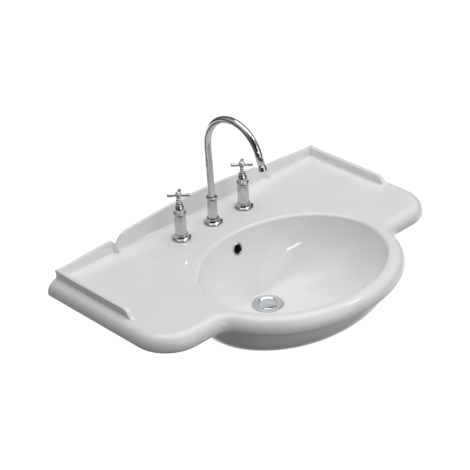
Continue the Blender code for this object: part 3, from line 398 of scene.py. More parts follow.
# %% Height and curl of the upstand
SIDE_UPSTAND_H = 0.020
BACK_UPSTAND_H = 0.022
HUMP_H = 0.0295
CREST_H = 0.050
CREST_FALL = 0.014
CREST_HALF = 0.226
VALLEY_H = 0.013
SHOULDER = (0.203, 0.2335)
HUMP_RISE = (0.2335, 0.2500)
CURL_X = 0.2415
CURL_WIDTH = 0.0058
CURL_REACH = 0.0150


def eased(low, high, value):
    """0 below low, 1 above high, and a smooth rise between."""
    share = min(1.0, max(0.0, (value - low) / (high - low)))
    return share * share * (3 - 2 * share)


def upstand_height(station):
    point, _, kind = station
    if kind == "edge":
        return SIDE_UPSTAND_H * (1 - eased(UPSTAND_LENGTH - UPSTAND_TAPER, UPSTAND_LENGTH, -point.y))
    if kind == "corner":
        return BACK_UPSTAND_H
    x = point.x
    if x < SHOULDER[1]:
        crest = CREST_H - CREST_FALL * (x / CREST_HALF) ** 1.8
        fall = max(0.0, (x - SHOULDER[0]) / (SHOULDER[1] - SHOULDER[0]))
        return VALLEY_H + (crest - VALLEY_H) * math.sqrt(1 - min(1.0, fall) ** 2)
    rise = VALLEY_H + (HUMP_H - VALLEY_H) * eased(*HUMP_RISE, x)
    return rise - (HUMP_H - BACK_UPSTAND_H) * eased(0.262, HALF_WIDTH - 0.040, x)


def curl_reach(station):
    """How far the curl stands out from the plain run of the upstand's foot."""
    point, _, kind = station
    if kind != "wall":
        return 0.0
    return CURL_REACH * math.exp(-(((point.x - CURL_X) / CURL_WIDTH) ** 2))


print("crest", CREST_H, "hump", HUMP_H)

# %% [markdown]
# ## The sections of the bowl and its shell
#
# Going down, the bowl's oval shrinks towards the waste, and its middle slides back, because the waste sits
# behind the centre of the bowl. The outside of the bowl follows the same rule but is fuller, so that it drops
# steeply from under the rim before it turns in.

# %% Bowl and shell
BOWL_HALF_WIDTH = 0.232
BOWL_HALF_DEPTH = 0.190
BOWL_CENTRE = 0.341
BOWL_LIP = 0.0080
BOWL_LIP_DROP = 0.0070
BOWL_FLOOR = 0.152
BOWL_WALL = 0.014
FLANGE_SEAT = 0.012
FLANGE_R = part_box("waste_body")[1].x
DRAIN_R = 0.0230
DRAIN_Y = (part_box("waste_body")[0].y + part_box("waste_body")[1].y) / 2
BOSS_R = 0.052
BOSS_DROP = 0.020
PAD_R = 0.0385
PAD_H = 0.0020
SHELL_TOP = 0.034
SHELL_SIDE, SHELL_FRONT, SHELL_BACK = 0.018, 0.006, 0.022
SEAT_GAP = 0.0012


def bowl_section(turn):
    """Half width, half depth, centre and height of the bowl's inside; turn is 0 at the lip."""
    share = math.cos(turn)
    least = FLANGE_R + SEAT_GAP
    half_x = least + (BOWL_HALF_WIDTH - least) * share
    half_y = least + (BOWL_HALF_DEPTH - least) * share
    centre = -BOWL_CENTRE + (DRAIN_Y + BOWL_CENTRE) * (1 - share) ** 1.5
    height = -BOWL_LIP_DROP - (BOWL_FLOOR - BOWL_LIP_DROP) * math.sin(turn) ** 1.15
    return half_x, half_y, centre, height


def shell_section(turn):
    """The same for the outside, with its front and back half depths."""
    share = max(0.0, math.cos(turn)) ** 1.30
    half_x = BOSS_R + (BOWL_HALF_WIDTH + SHELL_SIDE - BOSS_R) * share
    front = BOSS_R + (BOWL_HALF_DEPTH + SHELL_FRONT - BOSS_R) * share
    back = BOSS_R + (BOWL_HALF_DEPTH + SHELL_BACK - BOSS_R) * share
    centre = -BOWL_CENTRE + (DRAIN_Y + BOWL_CENTRE) * (1 - share) ** 0.7
    drop = BOWL_FLOOR + BOWL_WALL - SHELL_TOP
    return half_x, front, back, centre, -SHELL_TOP - drop * math.sin(turn) ** 0.57


def station_angles():
    """The angle of each station about the bowl's centre, measured from the wall side."""
    foot = [p - outward * 0.040 if kind == "edge" else p for p, outward, kind in STATIONS]
    angles = [math.atan2(p.x, p.y + BOWL_CENTRE) for p in foot]
    corner = [kind for _, _, kind in STATIONS].index("corner")
    for index in range(corner):
        angles[index] = angles[corner] * index / corner
    angles[-1] = math.pi
    return angles


ANGLES = station_angles()


def oval(half_x, front, back, centre, height):
    """A level oval with one point for each station."""
    ring = []
    for angle in ANGLES:
        half_y = back if math.cos(angle) > 0 else front
        turn = math.atan2(math.sin(angle) / half_x, math.cos(angle) / half_y)
        ring.append(Vector((half_x * math.sin(turn), centre + half_y * math.cos(turn), height)))
    return ring


def round_hole(radius, height):
    return oval(radius, radius, radius, DRAIN_Y, height)


print("bowl", 2 * BOWL_HALF_WIDTH, "by", 2 * BOWL_HALF_DEPTH)

# %% [markdown]
# ## Rings of the basin
#
# The whole skin is a stack of closed lines: up the waste hole, out through the bowl, over its lip, across the
# deck, over the upstand, round the bullnose rim and back under to the shell. Two lines close together where
# the deck starts and ends keep the flat really flat, because smooth shading then has nothing to lean on.

# %% Lines from the waste hole to the deck


def set_in(side, back, height):
    """The outline set in by side, and by back along the wall; each may be a function of the station."""
    ring = []
    for station in STATIONS:
        point, outward, kind = station
        inward = side(station) if callable(side) else side
        wall = back(station) if callable(back) else back
        z = height(station) if callable(height) else height
        if kind == "wall":
            ring.append(Vector((point.x, -wall, z)))
        elif kind == "corner":
            ring.append(Vector((point.x - inward, -wall, z)))
        else:
            ring.append(Vector((*(point - outward * inward), z)))
    return ring


def bowl_lines():
    boss = -BOWL_FLOOR - BOWL_WALL - BOSS_DROP
    seat = -BOWL_FLOOR - FLANGE_SEAT
    lines = [round_hole(DRAIN_R, boss), round_hole(DRAIN_R, seat)]
    lines.append(round_hole(FLANGE_R + 0.0006, seat))
    lines.append(round_hole(FLANGE_R + 0.0006, -BOWL_FLOOR - 0.0008))
    for degrees in [87, 84, 80] + [76 - 4 * step for step in range(20)]:
        half_x, half_y, centre, height = bowl_section(math.radians(degrees))
        lines.append(oval(half_x, half_y, half_y, centre, height))
    for degrees in (75, 60, 45, 30, 15, 0):
        turn = math.radians(degrees)
        out = BOWL_LIP * (1 - math.sin(turn))
        half_y = BOWL_HALF_DEPTH + out
        drop = BOWL_LIP_DROP * (1 - math.cos(turn))
        lines.append(oval(BOWL_HALF_WIDTH + out, half_y, half_y, -BOWL_CENTRE, -drop))
    return lines


print("bowl lines:", len(bowl_lines()))

# %% Lines over the upstand
RIM_REACH = 0.0255
RIM_DROP = 0.0285
RIM_UNDER = 0.0115
RIM_TUCK = 0.0110
RIM_WALL = 0.024
DECK_THICKNESS = 0.018
UPSTAND_FOOT = 0.0130
BACK_FOOT = 0.0090
UPSTAND_TOP = 0.0115
FILLET = 0.0065
TOP_R = 0.0024
COVE = 0.0022


def stands(station):
    """1 where the upstand stands, falling to 0 past its front tips."""
    return min(1.0, upstand_height(station) / 0.010)


def closing(inset):
    """A line this far in along the upstand. Past the tips it closes up to the rim, since the bowl's lip
    comes near the rim there."""

    def side(station):
        point, _, kind = station
        past = eased(UPSTAND_LENGTH, UPSTAND_LENGTH + 0.030, -point.y) if kind == "edge" else 0.0
        return RIM_REACH + (inset - RIM_REACH) * (1 - 0.90 * past)

    return side


def wall_line(inset, back, curl, height):
    """A line of the upstand; curl is the share of the curl's reach that it follows."""
    return set_in(closing(inset), lambda s: back + curl_reach(s) * curl, height)


def upstand_lines():
    foot = RIM_REACH + UPSTAND_FOOT
    lines = [wall_line(foot + FILLET + 0.008, BACK_FOOT + FILLET + CURL_REACH + 0.004, 0.0, 0.0)]
    lines.append(wall_line(foot + FILLET + 0.002, BACK_FOOT + FILLET + 0.002, 1.0, 0.0))
    for degrees in (0, 18, 36, 54, 72, 88):
        turn = math.radians(degrees)
        out = FILLET * (1 - math.sin(turn))
        up = FILLET * (1 - math.cos(turn))
        lines.append(
            wall_line(foot + out, BACK_FOOT + out, 1 - 25 * up, lambda s, up=up: up * stands(s)),
        )
    top_in = RIM_REACH + UPSTAND_TOP
    for degrees in (0, 30, 60, 90):
        turn = math.radians(degrees)
        side = top_in - TOP_R + TOP_R * math.cos(turn)
        wall = BACK_FOOT - 0.0010 - TOP_R + TOP_R * math.cos(turn)
        dip = TOP_R * (1 - math.sin(turn))
        curl = 0.40 * (1 - turn / math.pi * 2)
        lines.append(
            wall_line(side, wall, curl, lambda s, dip=dip: upstand_height(s) - dip * stands(s)),
        )
    for degrees in (90, 60, 30, 0):
        turn = math.radians(degrees)
        reach = TOP_R * (1 - math.cos(turn))
        dip = TOP_R * (1 - math.sin(turn))
        lines.append(
            wall_line(RIM_REACH + reach, reach, 0.0, lambda s, dip=dip: upstand_height(s) - dip * stands(s)),
        )
    for share, inward in ((0.62, 0.7), (0.40, 1.0), (0.20, 0.9), (0.08, 0.4)):
        lines.append(
            set_in(
                lambda s, inward=inward: RIM_REACH + COVE * inward * stands(s),
                0.0,
                lambda s, share=share: share * upstand_height(s),
            )
        )
    return lines


def flat_lines(inner, outer):
    """Lines on the level deck between the bowl's lip and the upstand's foot."""
    lines = []
    for share in (0.08, 0.35, 0.65, 0.92):
        lines.append([a.lerp(b, share) for a, b in zip(inner, outer)])
    return lines


print("upstand lines:", len(upstand_lines()))

# %% Lines round the rim and under the deck
PLATE_HALF = 0.205
PLATE_RAMP = 0.030
PLATE_DROP = 0.120


def plate_share(station):
    """1 along the hanging plate behind the bowl, 0 beyond it."""
    point, _, kind = station
    return 1 - eased(PLATE_HALF, PLATE_HALF + PLATE_RAMP, point.x) if kind == "wall" else 0.0


def clear_of_shell(ring, margin, low, high):
    """A line under the deck that would fall within the shell moves out to its edge, at the height low."""
    half_x = BOWL_HALF_WIDTH + SHELL_SIDE + margin
    kept = []
    for point in ring:
        half_y = BOWL_HALF_DEPTH + margin + (SHELL_BACK if point.y > -BOWL_CENTRE else SHELL_FRONT)
        reach = math.hypot(point.x / half_x, (point.y + BOWL_CENTRE) / half_y)
        if reach < 1:
            kept.append(Vector((point.x / reach, -BOWL_CENTRE + (point.y + BOWL_CENTRE) / reach, low)))
        else:
            kept.append(Vector((point.x, point.y, high)))
    return kept


def rim_lines():
    lines = []
    for degrees in (7, 14, 21, 28, 36, 44, 52, 60, 68, 76, 83, 90):
        turn = math.radians(degrees)
        fill = {7: 0.0012, 14: 0.0004}.get(degrees, 0.0)
        drop = RIM_DROP * (1 - math.cos(turn))
        lines.append(
            set_in(
                RIM_REACH * (1 - math.sin(turn)),
                0.0,
                lambda s, drop=drop, fill=fill: fill * stands(s) * (s[2] == "edge") - drop,
            )
        )
    bottom = RIM_DROP + RIM_TUCK
    for degrees in (20, 40, 60, 78):
        turn = math.radians(degrees)
        side = RIM_UNDER * (1 - math.cos(turn))
        lines.append(set_in(side, 0.0, -RIM_DROP - RIM_TUCK * math.sin(turn)))

    def hang(station):
        return -bottom - (PLATE_DROP - bottom) * plate_share(station)

    lines.append(set_in(RIM_UNDER, 0.0, hang))
    inner = clear_of_shell(set_in(RIM_WALL, RIM_WALL, 0.0), 0.006, -bottom, -bottom)
    lines.append([Vector((p.x, p.y, hang(s))) for p, s in zip(inner, STATIONS)])
    under = set_in(RIM_WALL + 0.004, RIM_WALL + 0.004, 0.0)
    lines.append(clear_of_shell(under, 0.004, -bottom + 0.002, -DECK_THICKNESS))
    return lines


def shell_lines(under):
    half_x, front, back, centre, _ = shell_section(0)
    first = oval(half_x + 0.003, front + 0.002, back + 0.003, centre, 0.0)
    for point, low in zip(first, under):
        point.z = -SHELL_TOP if low.z < -SHELL_TOP else -DECK_THICKNESS
    lines = [first]
    for degrees in (3, 7, 12, 18, 24, 31, 38, 45, 52, 59, 66, 73, 79, 84, 88):
        lines.append(oval(*shell_section(math.radians(degrees))))
    floor = -BOWL_FLOOR - BOWL_WALL
    lines.append(round_hole(BOSS_R, floor))
    pad = floor - BOSS_DROP - PAD_H
    lines += [round_hole(BOSS_R - 0.003, pad), round_hole(PAD_R, pad), round_hole(PAD_R, pad + PAD_H)]
    return lines


print("rim lines:", len(rim_lines()))

# %% [markdown]
# ## Casting the basin
#
# The first line is drawn as a chain of edges. Each following line is that chain extruded with
# `extrude_edge_only` and moved to its place, which is how a loft is made by hand in the editor. The last
# extrusion lands on the first line and is merged with it. The mirror then adds the other half.

# %% The basin's skin


def lofted(lines):
    work = bmesh.new()
    row = [work.verts.new(point) for point in lines[0]]
    edges = [work.edges.new(pair) for pair in zip(row, row[1:])]
    for line in lines[1:] + lines[:1]:
        grown = bmesh.ops.extrude_edge_only(work, edges=edges)["geom"]
        new = {item for item in grown if isinstance(item, bmesh.types.BMVert)}
        after = [next(e.other_vert(v) for e in v.link_edges if e.other_vert(v) in new) for v in row]
        for vert, point in zip(after, line):
            vert.co = point
        row = after
        edges = [work.edges.get(pair) for pair in zip(row, row[1:])]
    return closed(work)


rim = rim_lines()
bowl, upstand = bowl_lines(), upstand_lines()
work = lofted(bowl + flat_lines(bowl[-1], upstand[0]) + upstand + rim + shell_lines(rim[-1]))
bmesh.ops.mirror(work, geom=work.verts[:] + work.edges[:] + work.faces[:], axis="X", merge_dist=1e-6)
closed(work)
basin = finished("china_basin", work, "fixed_basin", china, ["basin"])

# %% [markdown]
# ## Holes through the china
#
# The potter cuts the tap holes, the wall-bolt holes and the overflow while the clay is leather hard. Each is
# a spun plug that a Boolean takes away from the casting.

# %% Tap holes, bolt holes and the overflow
TAP_Y = (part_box("spout_shank")[0].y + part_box("spout_shank")[1].y) / 2
TAP_NODES = {"hot": "hot_cross_handle", "spout": "spout_shank", "cold": "cold_cross_handle"}
TAP_X = {name: (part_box(node)[0].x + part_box(node)[1].x) / 2 for name, node in TAP_NODES.items()}
TAP_HOLE_R = 0.0165
HALF_FACET = math.pi / 48


def rod(radius, low, high, steps=48):
    profile = [(0, high), (radius, high), (radius, low), (0, low)]
    return spun(profile, steps, ring=False, turn=HALF_FACET)


for x in TAP_X.values():
    combined(basin, moved(rod(TAP_HOLE_R, -0.03, 0.03), (x, TAP_Y, -DECK_THICKNESS / 2)), "DIFFERENCE")
for x in (-0.140, 0.140):
    combined(basin, moved(rod(0.007, -0.03, 0.03), (x, -0.012, -0.085), (0, 1, 0)), "DIFFERENCE")

OVERFLOW_DROP = 0.042


def back_wall(turn):
    _, half_y, centre, height = bowl_section(turn)
    return Vector((0, centre + half_y, height))


turn = math.asin(((OVERFLOW_DROP - BOWL_LIP_DROP) / (BOWL_FLOOR - BOWL_LIP_DROP)) ** (1 / 1.15))
overflow_at = back_wall(turn)
slope = back_wall(turn + 0.02) - back_wall(turn - 0.02)
overflow_out = Vector((0, -abs(slope.z), abs(slope.y))).normalized()
plug = [(0, 0.006), (0.0158, 0.006), (0.0158, -0.0015), (0.0120, -0.0015), (0.0120, -0.024), (0, -0.024)]
combined(basin, moved(spun(plug, 48, False, HALF_FACET), overflow_at, overflow_out), "DIFFERENCE")
# The real passage turns down to the waste out of the light. This skin has only a pocket in its place, so the
# pocket's own faces carry painted shade: a dark grey colour that stands in for the shade of that depth.
overflow_shade_paint, tree, shader, spot = new_finish("painted_overflow_shade")
tree.links.new(tinted(tree, spot, 6, "#4b4844", "#3f3c39"), shader.inputs["Base Color"])
tree.links.new(varied(tree, spot, 3, 0.75, 0.9), shader.inputs["Roughness"])
basin.data.materials.append(overflow_shade_paint)
# The faces inside the pocket take the painted shade.
inside = 0
for face in basin.data.polygons:
    offset = face.center - overflow_at
    depth = -offset.dot(overflow_out)
    if depth > 0.002 and (offset + overflow_out * depth).length < 0.0125 and depth < 0.025:
        face.material_index = 1
        inside += 1
print("overflow at", tuple(round(v, 4) for v in overflow_at), "bare faces", inside)

# %% [markdown]
# ## The overflow ring and the waste
#
# The overflow ring is a pressed sleeve with a thin rolled lip, drawn only as deep as it shows. The waste flange
# is dished so that water runs to the plug, and the plug lies down in the dish, a little below the flange's
# edge. Both are turned brass, chrome plated.

# %% Overflow ring
profile = arc((0.0132, -0.0002), (0.0023, 0.0021), 0, 180, 10) + [(0.0107, -0.0030), (0.0112, -0.0034)]
profile += [(0.0117, -0.0014), (0.0154, -0.0014)]
work = moved(spun(profile, 64), overflow_at, overflow_out)
finished("overflow_sleeve", work, "fixed_basin", chrome, ["overflow_ring"])

# %% Waste flange and plug
waste_low, waste_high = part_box("waste_body")
plug_low, plug_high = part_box("waste_plug")
RIM_Z = waste_high.z
PLUG_R = plug_high.x
profile = arc((FLANGE_R - 0.0020, RIM_Z - 0.0016), (0.0020, 0.0016), 0, 90, 6)
profile += arc((FLANGE_R - 0.0050, RIM_Z - 0.0070), (0.0110, 0.0070), 90, 175, 10)
profile += [(PLUG_R + 0.0010, RIM_Z - 0.0078), (0.0200, RIM_Z - 0.0105), (0.0170, RIM_Z - 0.0125)]
profile += [(0.0170, waste_low.z + 0.0005), (0.0175, waste_low.z)]
profile += [(0.0200, waste_low.z), (0.0205, waste_low.z + 0.0005)]
profile += [(0.0205, RIM_Z - 0.0116), (FLANGE_R - 0.0003, RIM_Z - 0.0116), (FLANGE_R, RIM_Z - 0.0113)]
work = moved(spun(profile, 96), (0, DRAIN_Y, 0))
finished("waste_flange", work, "fixed_basin", chrome, ["waste_body"])

profile = [(0, plug_high.z)]
CROWN = (0.15, 0.3, 0.45, 0.6, 0.72, 0.82)
profile += [(PLUG_R * share, plug_high.z - 0.0022 * share**2.2) for share in CROWN]
profile += arc((PLUG_R - 0.0016, plug_high.z - 0.0037), (0.0016, 0.0017), 80, 0, 5)
profile += [(PLUG_R, plug_low.z + 0.0008), (PLUG_R - 0.0040, plug_low.z), (0, plug_low.z)]
work = moved(spun(profile, 96, ring=False), (0, DRAIN_Y, 0))
finished("push_plug", work, "plug", chrome, ["waste_plug"])

# %% [markdown]
# ## Feet and columns
#
# Each tap stands on an octagonal casting: a thin flat base that draws in through one hollow sweep to a narrow
# neck, and a plain octagonal column above. An eight-step spin gives the flats. Their long edges are real
# corners, so they are only softened by a bevel of 0.4 mm, which is what catches the light.

# %% Octagonal castings
FACETS = 8
EIGHTH = math.pi / FACETS
COLUMN_R = {"hot": 0.0148, "spout": 0.0130, "cold": 0.0148}
COLUMN_TOP = 0.0640
BORE_R = 0.0114


def octagonal(profile, edge_bevel=0.0004):
    work = spun(profile, FACETS, turn=EIGHTH)
    corners = [e for e in work.edges if len(e.link_faces) == 2 and e.calc_face_angle() > math.radians(30)]
    bmesh.ops.bevel(
        work,
        geom=corners,
        offset=edge_bevel,
        offset_type="OFFSET",
        affect="EDGES",
        segments=2,
        profile=0.5,
        material=-1,
        clamp_overlap=True,
    )
    return closed(work)


def build_foot(name, x):
    column_r = COLUMN_R[name]
    label = "spout" if name == "spout" else f"{name}_valve"
    base_low, base_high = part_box(f"{label}_foot")
    neck = max(0.0158, column_r + 0.0010)
    wide = 0.0240
    profile = [(neck - 0.0004, 0.0140), (neck, 0.0136), (neck, 0.0124), (neck - 0.0005, 0.0120)]
    hollow = arc((wide - 0.0004, 0.0116), (wide - 0.0004 - neck, 0.0082), 180, 270, 7)
    profile += hollow + [(wide, 0.0030), (wide, base_low.z), (BORE_R, base_low.z), (BORE_R, 0.0140)]
    work = moved(octagonal(profile), (x, TAP_Y, 0))
    finished(f"{label}_base", work, "fixed_basin", chrome, [f"{label}_foot"], math.radians(25))
    base = base_high.z + 0.0003
    profile = [(column_r - 0.0006, COLUMN_TOP), (column_r, base), (BORE_R, base), (BORE_R, COLUMN_TOP)]
    work = moved(octagonal(profile), (x, TAP_Y, 0))
    finished(f"{label}_post", work, "fixed_basin", chrome, [f"{label}_column"], math.radians(25))


for name, x in TAP_X.items():
    build_foot(name, x)

# %% [markdown]
# ## Collars and bonnets
#
# A thin round collar, as wide as the column, caps each column with a groove under it. On the valves a tapered
# bell of a bonnet rises from it and narrows to the neck of the handle.

# %% Collars and bonnets


def build_collar(name, x):
    label = "spout" if name == "spout" else f"{name}_valve"
    low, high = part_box(f"{label}_collar")
    radius = COLUMN_R[name] + 0.0002
    inner = 0.0091 if name == "spout" else 0.0108
    middle = (low.z + high.z) / 2
    bead = arc((radius - 0.0014, middle + 0.0003), (0.0014, 0.0019), -80, 80, 10)
    profile = [(inner, low.z), (radius - 0.0022, low.z), (radius - 0.0022, low.z + 0.0005)] + bead
    profile += [(inner + 0.0008, high.z), (inner, high.z)]
    work = moved(spun(profile), (x, TAP_Y, 0))
    finished(f"{label}_ring", work, "fixed_basin", chrome, [f"{label}_collar"])


def build_bonnet(name, x):
    low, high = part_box(f"{name}_valve_bonnet")
    base, top = low.z, high.z
    tall = top - base
    profile = [(0.0036, base), (0.0130, base), (0.0132, base + 0.0004), (0.0132, base + 0.0014)]
    profile += [(0.0120, base + 0.0020), (0.0117, base + 0.0028)]
    bell = ((0.0120, 0.25), (0.0119, 0.38), (0.0113, 0.52), (0.0103, 0.66), (0.0091, 0.78), (0.0080, 0.87))
    profile += [(radius, base + tall * share) for radius, share in bell]
    profile += [(0.0076, top - 0.0018), (0.0082, top - 0.0015), (0.0082, top - 0.0004)]
    profile += [(0.0076, top), (0.0036, top)]
    work = moved(spun(profile), (x, TAP_Y, 0))
    finished(f"{name}_bell_bonnet", work, "fixed_basin", chrome, [f"{name}_valve_bonnet"])


for name, x in TAP_X.items():
    build_collar(name, x)
    if name != "spout":
        build_bonnet(name, x)

# %% [markdown]
# ## Cross handles
#
# The handle is one casting: a waisted neck, a round hub and four arms that swell at their tips. Each pair of
# arms is spun lying on its axis, and a Boolean joins it to the hub so that the casting is one skin. A separate
# finial, a low cone with a small ball on top, screws into the hub.

# %% Handles and finials
HANDLE_Z = 0.1120
ARM_HALF = 0.0270


def build_handle(name, x):
    low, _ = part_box(f"{name}_cross_handle")
    foot = low.z
    profile = [(0, HANDLE_Z + 0.0062), (0.0058, HANDLE_Z + 0.0062), (0.0068, HANDLE_Z + 0.0052)]
    profile += arc((0.0040, HANDLE_Z + 0.0004), (0.0044, 0.0046), 50, -50, 8)
    profile += [(0.0050, HANDLE_Z - 0.0052), (0.0043, HANDLE_Z - 0.0080), (0.0042, foot + 0.0060)]
    profile += [(0.0050, foot + 0.0035), (0.0060, foot + 0.0028), (0.0060, foot + 0.0012)]
    profile += [(0.0052, foot), (0, foot)]
    at = (x, TAP_Y, 0)
    node = f"{name}_cross_handle"
    work = moved(spun(profile, 48, False), at)
    hub = finished(f"{name}_cross", work, f"{name}_handle", chrome, [node])
    for index in range(2):
        tip = arc((0, ARM_HALF - 0.0030), (0.0046, 0.0030), 80, -15, 8)
        half = [(0, ARM_HALF), *tip, (0.0043, ARM_HALF - 0.0060), (0.0042, ARM_HALF - 0.0090)]
        half += [(0.0038, ARM_HALF - 0.0125), (0.0034, 0.0110), (0.0035, 0.0060)]
        profile = half + [(radius, -height) for radius, height in reversed(half)]
        turn = math.radians(45 + 90 * index)
        arm = spun(profile, 24, False, math.pi / 48)
        arm = moved(arm, (x, TAP_Y, HANDLE_Z), (math.cos(turn), math.sin(turn), 0))
        combined(hub, arm, "UNION")
    low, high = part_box(f"{name}_handle_finial")
    base, tip = low.z, high.z
    profile = [(0, tip), (0.0006, tip - 0.0003)] + arc((0, tip - 0.0030), (0.0023, 0.0024), 68, -45, 8)
    profile += [(0.0014, tip - 0.0056), (0.0026, tip - 0.0074), (0.0046, base + 0.0028)]
    profile += [(0.0062, base + 0.0012), (0.0065, base + 0.0004), (0.0060, base), (0, base)]
    work = moved(spun(profile, 48, False), at)
    finished(f"{name}_finial", work, f"{name}_handle", chrome, [f"{name}_handle_finial"])


for name in ("hot", "cold"):
    build_handle(name, TAP_X[name])

# %% [markdown]
# ## The swan neck
#
# A real spout is one length of brass tube, bent on a former and then plated. The mesh is made the same way:
# a circle is extruded up the straight, spun round the former's centre for the bend, and extruded once more for
# the tail. Solidify gives the tube its wall, inwards, so that its open end shows a thickness.

# %% Bent tube
SPOUT_R = 0.0086
STUB_LOW, STUB_HIGH = 0.032, 0.075
LEAN = math.radians(-1.3)
RISE = 0.125
BEND_R = 0.0870
BEND_END = math.radians(160.0)
TAIL = 0.026


def heading(angle):
    return Vector((0, -math.sin(angle), math.cos(angle)))


def grow(work, edges, shift):
    """Extrudes an open rim and moves the new rim by shift."""
    grown = bmesh.ops.extrude_edge_only(work, edges=edges)["geom"]
    verts = [item for item in grown if isinstance(item, bmesh.types.BMVert)]
    bmesh.ops.translate(work, verts=verts, vec=shift)
    return verts, [item for item in grown if isinstance(item, bmesh.types.BMEdge)]


work = bmesh.new()
verts = bmesh.ops.create_circle(work, cap_ends=False, radius=SPOUT_R, segments=48)["verts"]
bmesh.ops.translate(work, verts=verts, vec=(0, TAP_Y, STUB_LOW))
verts, edges = grow(work, work.edges[:], heading(0) * (STUB_HIGH - STUB_LOW))
start = Vector((0, TAP_Y, STUB_HIGH))
bmesh.ops.rotate(work, verts=verts, cent=start, matrix=Matrix.Rotation(LEAN, 3, "X"))
verts, edges = grow(work, edges, heading(LEAN) * RISE)
bend_start = start + heading(LEAN) * RISE
bend_centre = bend_start + BEND_R * Vector((0, -math.cos(LEAN), -math.sin(LEAN)))
bend = bmesh.ops.spin(
    work,
    geom=verts + edges,
    cent=bend_centre,
    axis=(1, 0, 0),
    angle=BEND_END - LEAN,
    steps=56,
    use_merge=False,
    use_duplicate=False,
)
edges = [item for item in bend["geom_last"] if isinstance(item, bmesh.types.BMEdge)]
verts, edges = grow(work, edges, heading(BEND_END) * TAIL)
end = sum((vert.co for vert in verts), Vector()) / len(verts)
closed(work)
spout = finished("swan_neck_tube", work, "swan_neck", chrome, ["spout_tube"])
wall = spout.modifiers.new("wall", "SOLIDIFY")
wall.thickness = 0.0020
wall.offset = -1.0
print("outlet at", tuple(round(v, 4) for v in end))

# %% [markdown]
# ## The aerator
#
# The ring at the outlet is a turned nut that holds the mesh. It is a little wider than the tube, with a groove
# that shows as one dark line.

# %% Aerator housing
profile = [(0.0078, 0.0003), (0.0088, 0.0003), (0.0094, 0.0008), (0.0094, 0.0026), (0.0090, 0.0030)]
profile += [(0.0090, 0.0036), (0.0098, 0.0040), (0.0098, 0.0100)]
profile += arc((0.0088, 0.0103), (0.0010, 0.0010), 0, 90, 4) + [(0.0080, 0.0113)]
work = moved(spun(profile), end, heading(BEND_END))
finished("aerator_nut", work, "swan_neck", chrome, ["aerator_housing"])

# %% [markdown]
# ## Floor, light and camera
#
# The basin hangs above a mid-grey floor that runs out of sight. On the far side of the basin the floor carries
# a painted glow, an emission that makes it look white. On the near side it is only lit grey paint, so it stays
# darker and little light comes up under the rim. A large soft light hangs overhead, another stands low in
# front, and two small bright windows put crisp marks in the glaze. Chrome shows only what surrounds it, so the
# studio is dark in two directions, behind the camera and beyond the basin.

# %% Floor
FLOOR_Z = -1.60
work = bmesh.new()
bmesh.ops.create_grid(work, x_segments=1, y_segments=1, size=9.0)
bmesh.ops.translate(work, verts=work.verts, vec=(0, 0, FLOOR_Z))
mesh = bpy.data.meshes.new("studio_floor")
work.to_mesh(mesh)
work.free()
floor = bpy.data.objects.new("studio_floor", mesh)
bpy.context.scene.collection.objects.link(floor)
paint, tree, shader, spot = new_finish("grey_floor_paint_with_painted_glow")
tree.links.new(tinted(tree, spot, 300, "#808080", "#7c7c7c"), shader.inputs["Base Color"])
shader.inputs["Roughness"].default_value = 0.9
shader.inputs["Emission Color"].default_value = (1, 1, 1, 1)
# The painted glow, an emission that stands in for light on the floor, starts under the basin and is full one
# metre beyond it, on the side away from the main camera; the near side keeps only the grey paint and looks
# shaded.
beyond = {0: spot, 1: (0.67, 0.74, 0.0)}
beyond = add_node(tree, "ShaderNodeVectorMath", {"operation": "DOT_PRODUCT"}, beyond)
glow = {"Value": beyond.outputs["Value"], "From Min": 0.0, "From Max": 1.0, "To Min": 0.0, "To Max": 1.0}
glow = add_node(tree, "ShaderNodeMapRange", {"interpolation_type": "SMOOTHSTEP"}, glow)
tree.links.new(glow.outputs["Result"], shader.inputs["Emission Strength"])
mesh.materials.append(paint)
print("floor at", FLOOR_Z)

# %% Lights
scene = bpy.context.scene
scene.view_settings.view_transform = "Standard"
world = bpy.data.worlds.new("studio_air")
world.use_nodes = True
tree = world.node_tree
sky = add_node(tree, "ShaderNodeTexCoord")
apart = add_node(tree, "ShaderNodeSeparateXYZ", {}, {"Vector": sky.outputs["Generated"]})
light = {"Value": apart.outputs["Z"], "From Min": 0.0, "From Max": 0.9, "To Min": 0.12, "To Max": 0.72}
light = add_node(tree, "ShaderNodeMapRange", {"interpolation_type": "SMOOTHSTEP"}, light)
# The studio is unlit behind the main camera, and polished metal needs that dark part to look like metal.
toward = {0: sky.outputs["Generated"], 1: (-0.58, -0.64, 0.50)}
toward = add_node(tree, "ShaderNodeVectorMath", {"operation": "DOT_PRODUCT"}, toward)
shade = {"Value": toward.outputs["Value"], "From Min": 0.70, "From Max": 0.95, "To Min": 1.0, "To Max": 0.04}
shade = add_node(tree, "ShaderNodeMapRange", {"interpolation_type": "SMOOTHSTEP"}, shade)
both = {0: light.outputs["Result"], 1: shade.outputs["Result"]}
both = add_node(tree, "ShaderNodeMath", {"operation": "MULTIPLY"}, both)
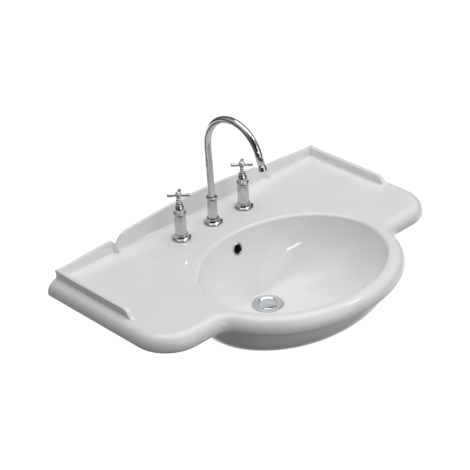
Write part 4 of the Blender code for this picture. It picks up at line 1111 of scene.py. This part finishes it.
# A second dark part, beyond the basin, draws the upper edges of the arms and the neck.
away = {0: sky.outputs["Generated"], 1: (0.55, 0.61, 0.57)}
away = add_node(tree, "ShaderNodeVectorMath", {"operation": "DOT_PRODUCT"}, away)
shade = {"Value": away.outputs["Value"], "From Min": 0.60, "From Max": 0.95, "To Min": 1.0, "To Max": 0.25}
shade = add_node(tree, "ShaderNodeMapRange", {"interpolation_type": "SMOOTHSTEP"}, shade)
both = {0: both.outputs["Value"], 1: shade.outputs["Result"]}
both = add_node(tree, "ShaderNodeMath", {"operation": "MULTIPLY"}, both)
tree.links.new(both.outputs["Value"], tree.nodes["Background"].inputs["Strength"])
tree.nodes["Background"].inputs["Color"].default_value = (1, 1, 1, 1)
scene.world = world


def soft_light(name, at, aim, size, power, size_y=None):
    lamp = bpy.data.lights.new(name, "AREA")
    lamp.shape = "RECTANGLE"
    lamp.size = size
    lamp.size_y = size_y or size
    lamp.energy = power
    made = bpy.data.objects.new(name, lamp)
    made.location = at
    made.rotation_euler = (Vector(aim) - Vector(at)).to_track_quat("-Z", "Y").to_euler()
    scene.collection.objects.link(made)
    return made


MIDDLE = (0.0, -0.28, 0.0)
soft_light("overhead_softbox", (0.3, -0.2, 2.2), MIDDLE, 2.2, 24)
soft_light("right_window", (1.29, -1.40, 1.95), MIDDLE, 0.44, 5, 0.18)
soft_light("front_window", (-0.91, -2.29, 0.83), MIDDLE, 0.68, 2.4, 0.10)
soft_light("front_softbox", (0.1, -2.9, 0.8), MIDDLE, 2.0, 14)
print("lights:", [thing.name for thing in bpy.data.lights])

# %% Camera
camera_data = bpy.data.cameras.new("camera")
camera_data.sensor_width = 36.0
camera_data.lens = 124.85
camera_data.clip_start, camera_data.clip_end = 0.1, 60.0
camera = bpy.data.objects.new("camera", camera_data)
scene.collection.objects.link(camera)
TARGET = Vector((-0.0080, -0.1591, 0.0))
AZIMUTH, ELEVATION, ROLL = math.radians(-42.1), math.radians(29.8), math.radians(-3.1)
DISTANCE = 3.7686
back = Vector(
    (
        math.sin(AZIMUTH) * math.cos(ELEVATION),
        -math.cos(AZIMUTH) * math.cos(ELEVATION),
        math.sin(ELEVATION),
    )
)
right = Vector((math.cos(AZIMUTH), math.sin(AZIMUTH), 0.0))
up = back.cross(right)
right, up = right * math.cos(ROLL) + up * math.sin(ROLL), up * math.cos(ROLL) - right * math.sin(ROLL)
turned = Matrix((right, up, back)).transposed().to_4x4()
camera.matrix_world = Matrix.Translation(TARGET + back * DISTANCE) @ turned
scene.camera = camera
print("camera at", tuple(round(v, 3) for v in camera.matrix_world.translation))
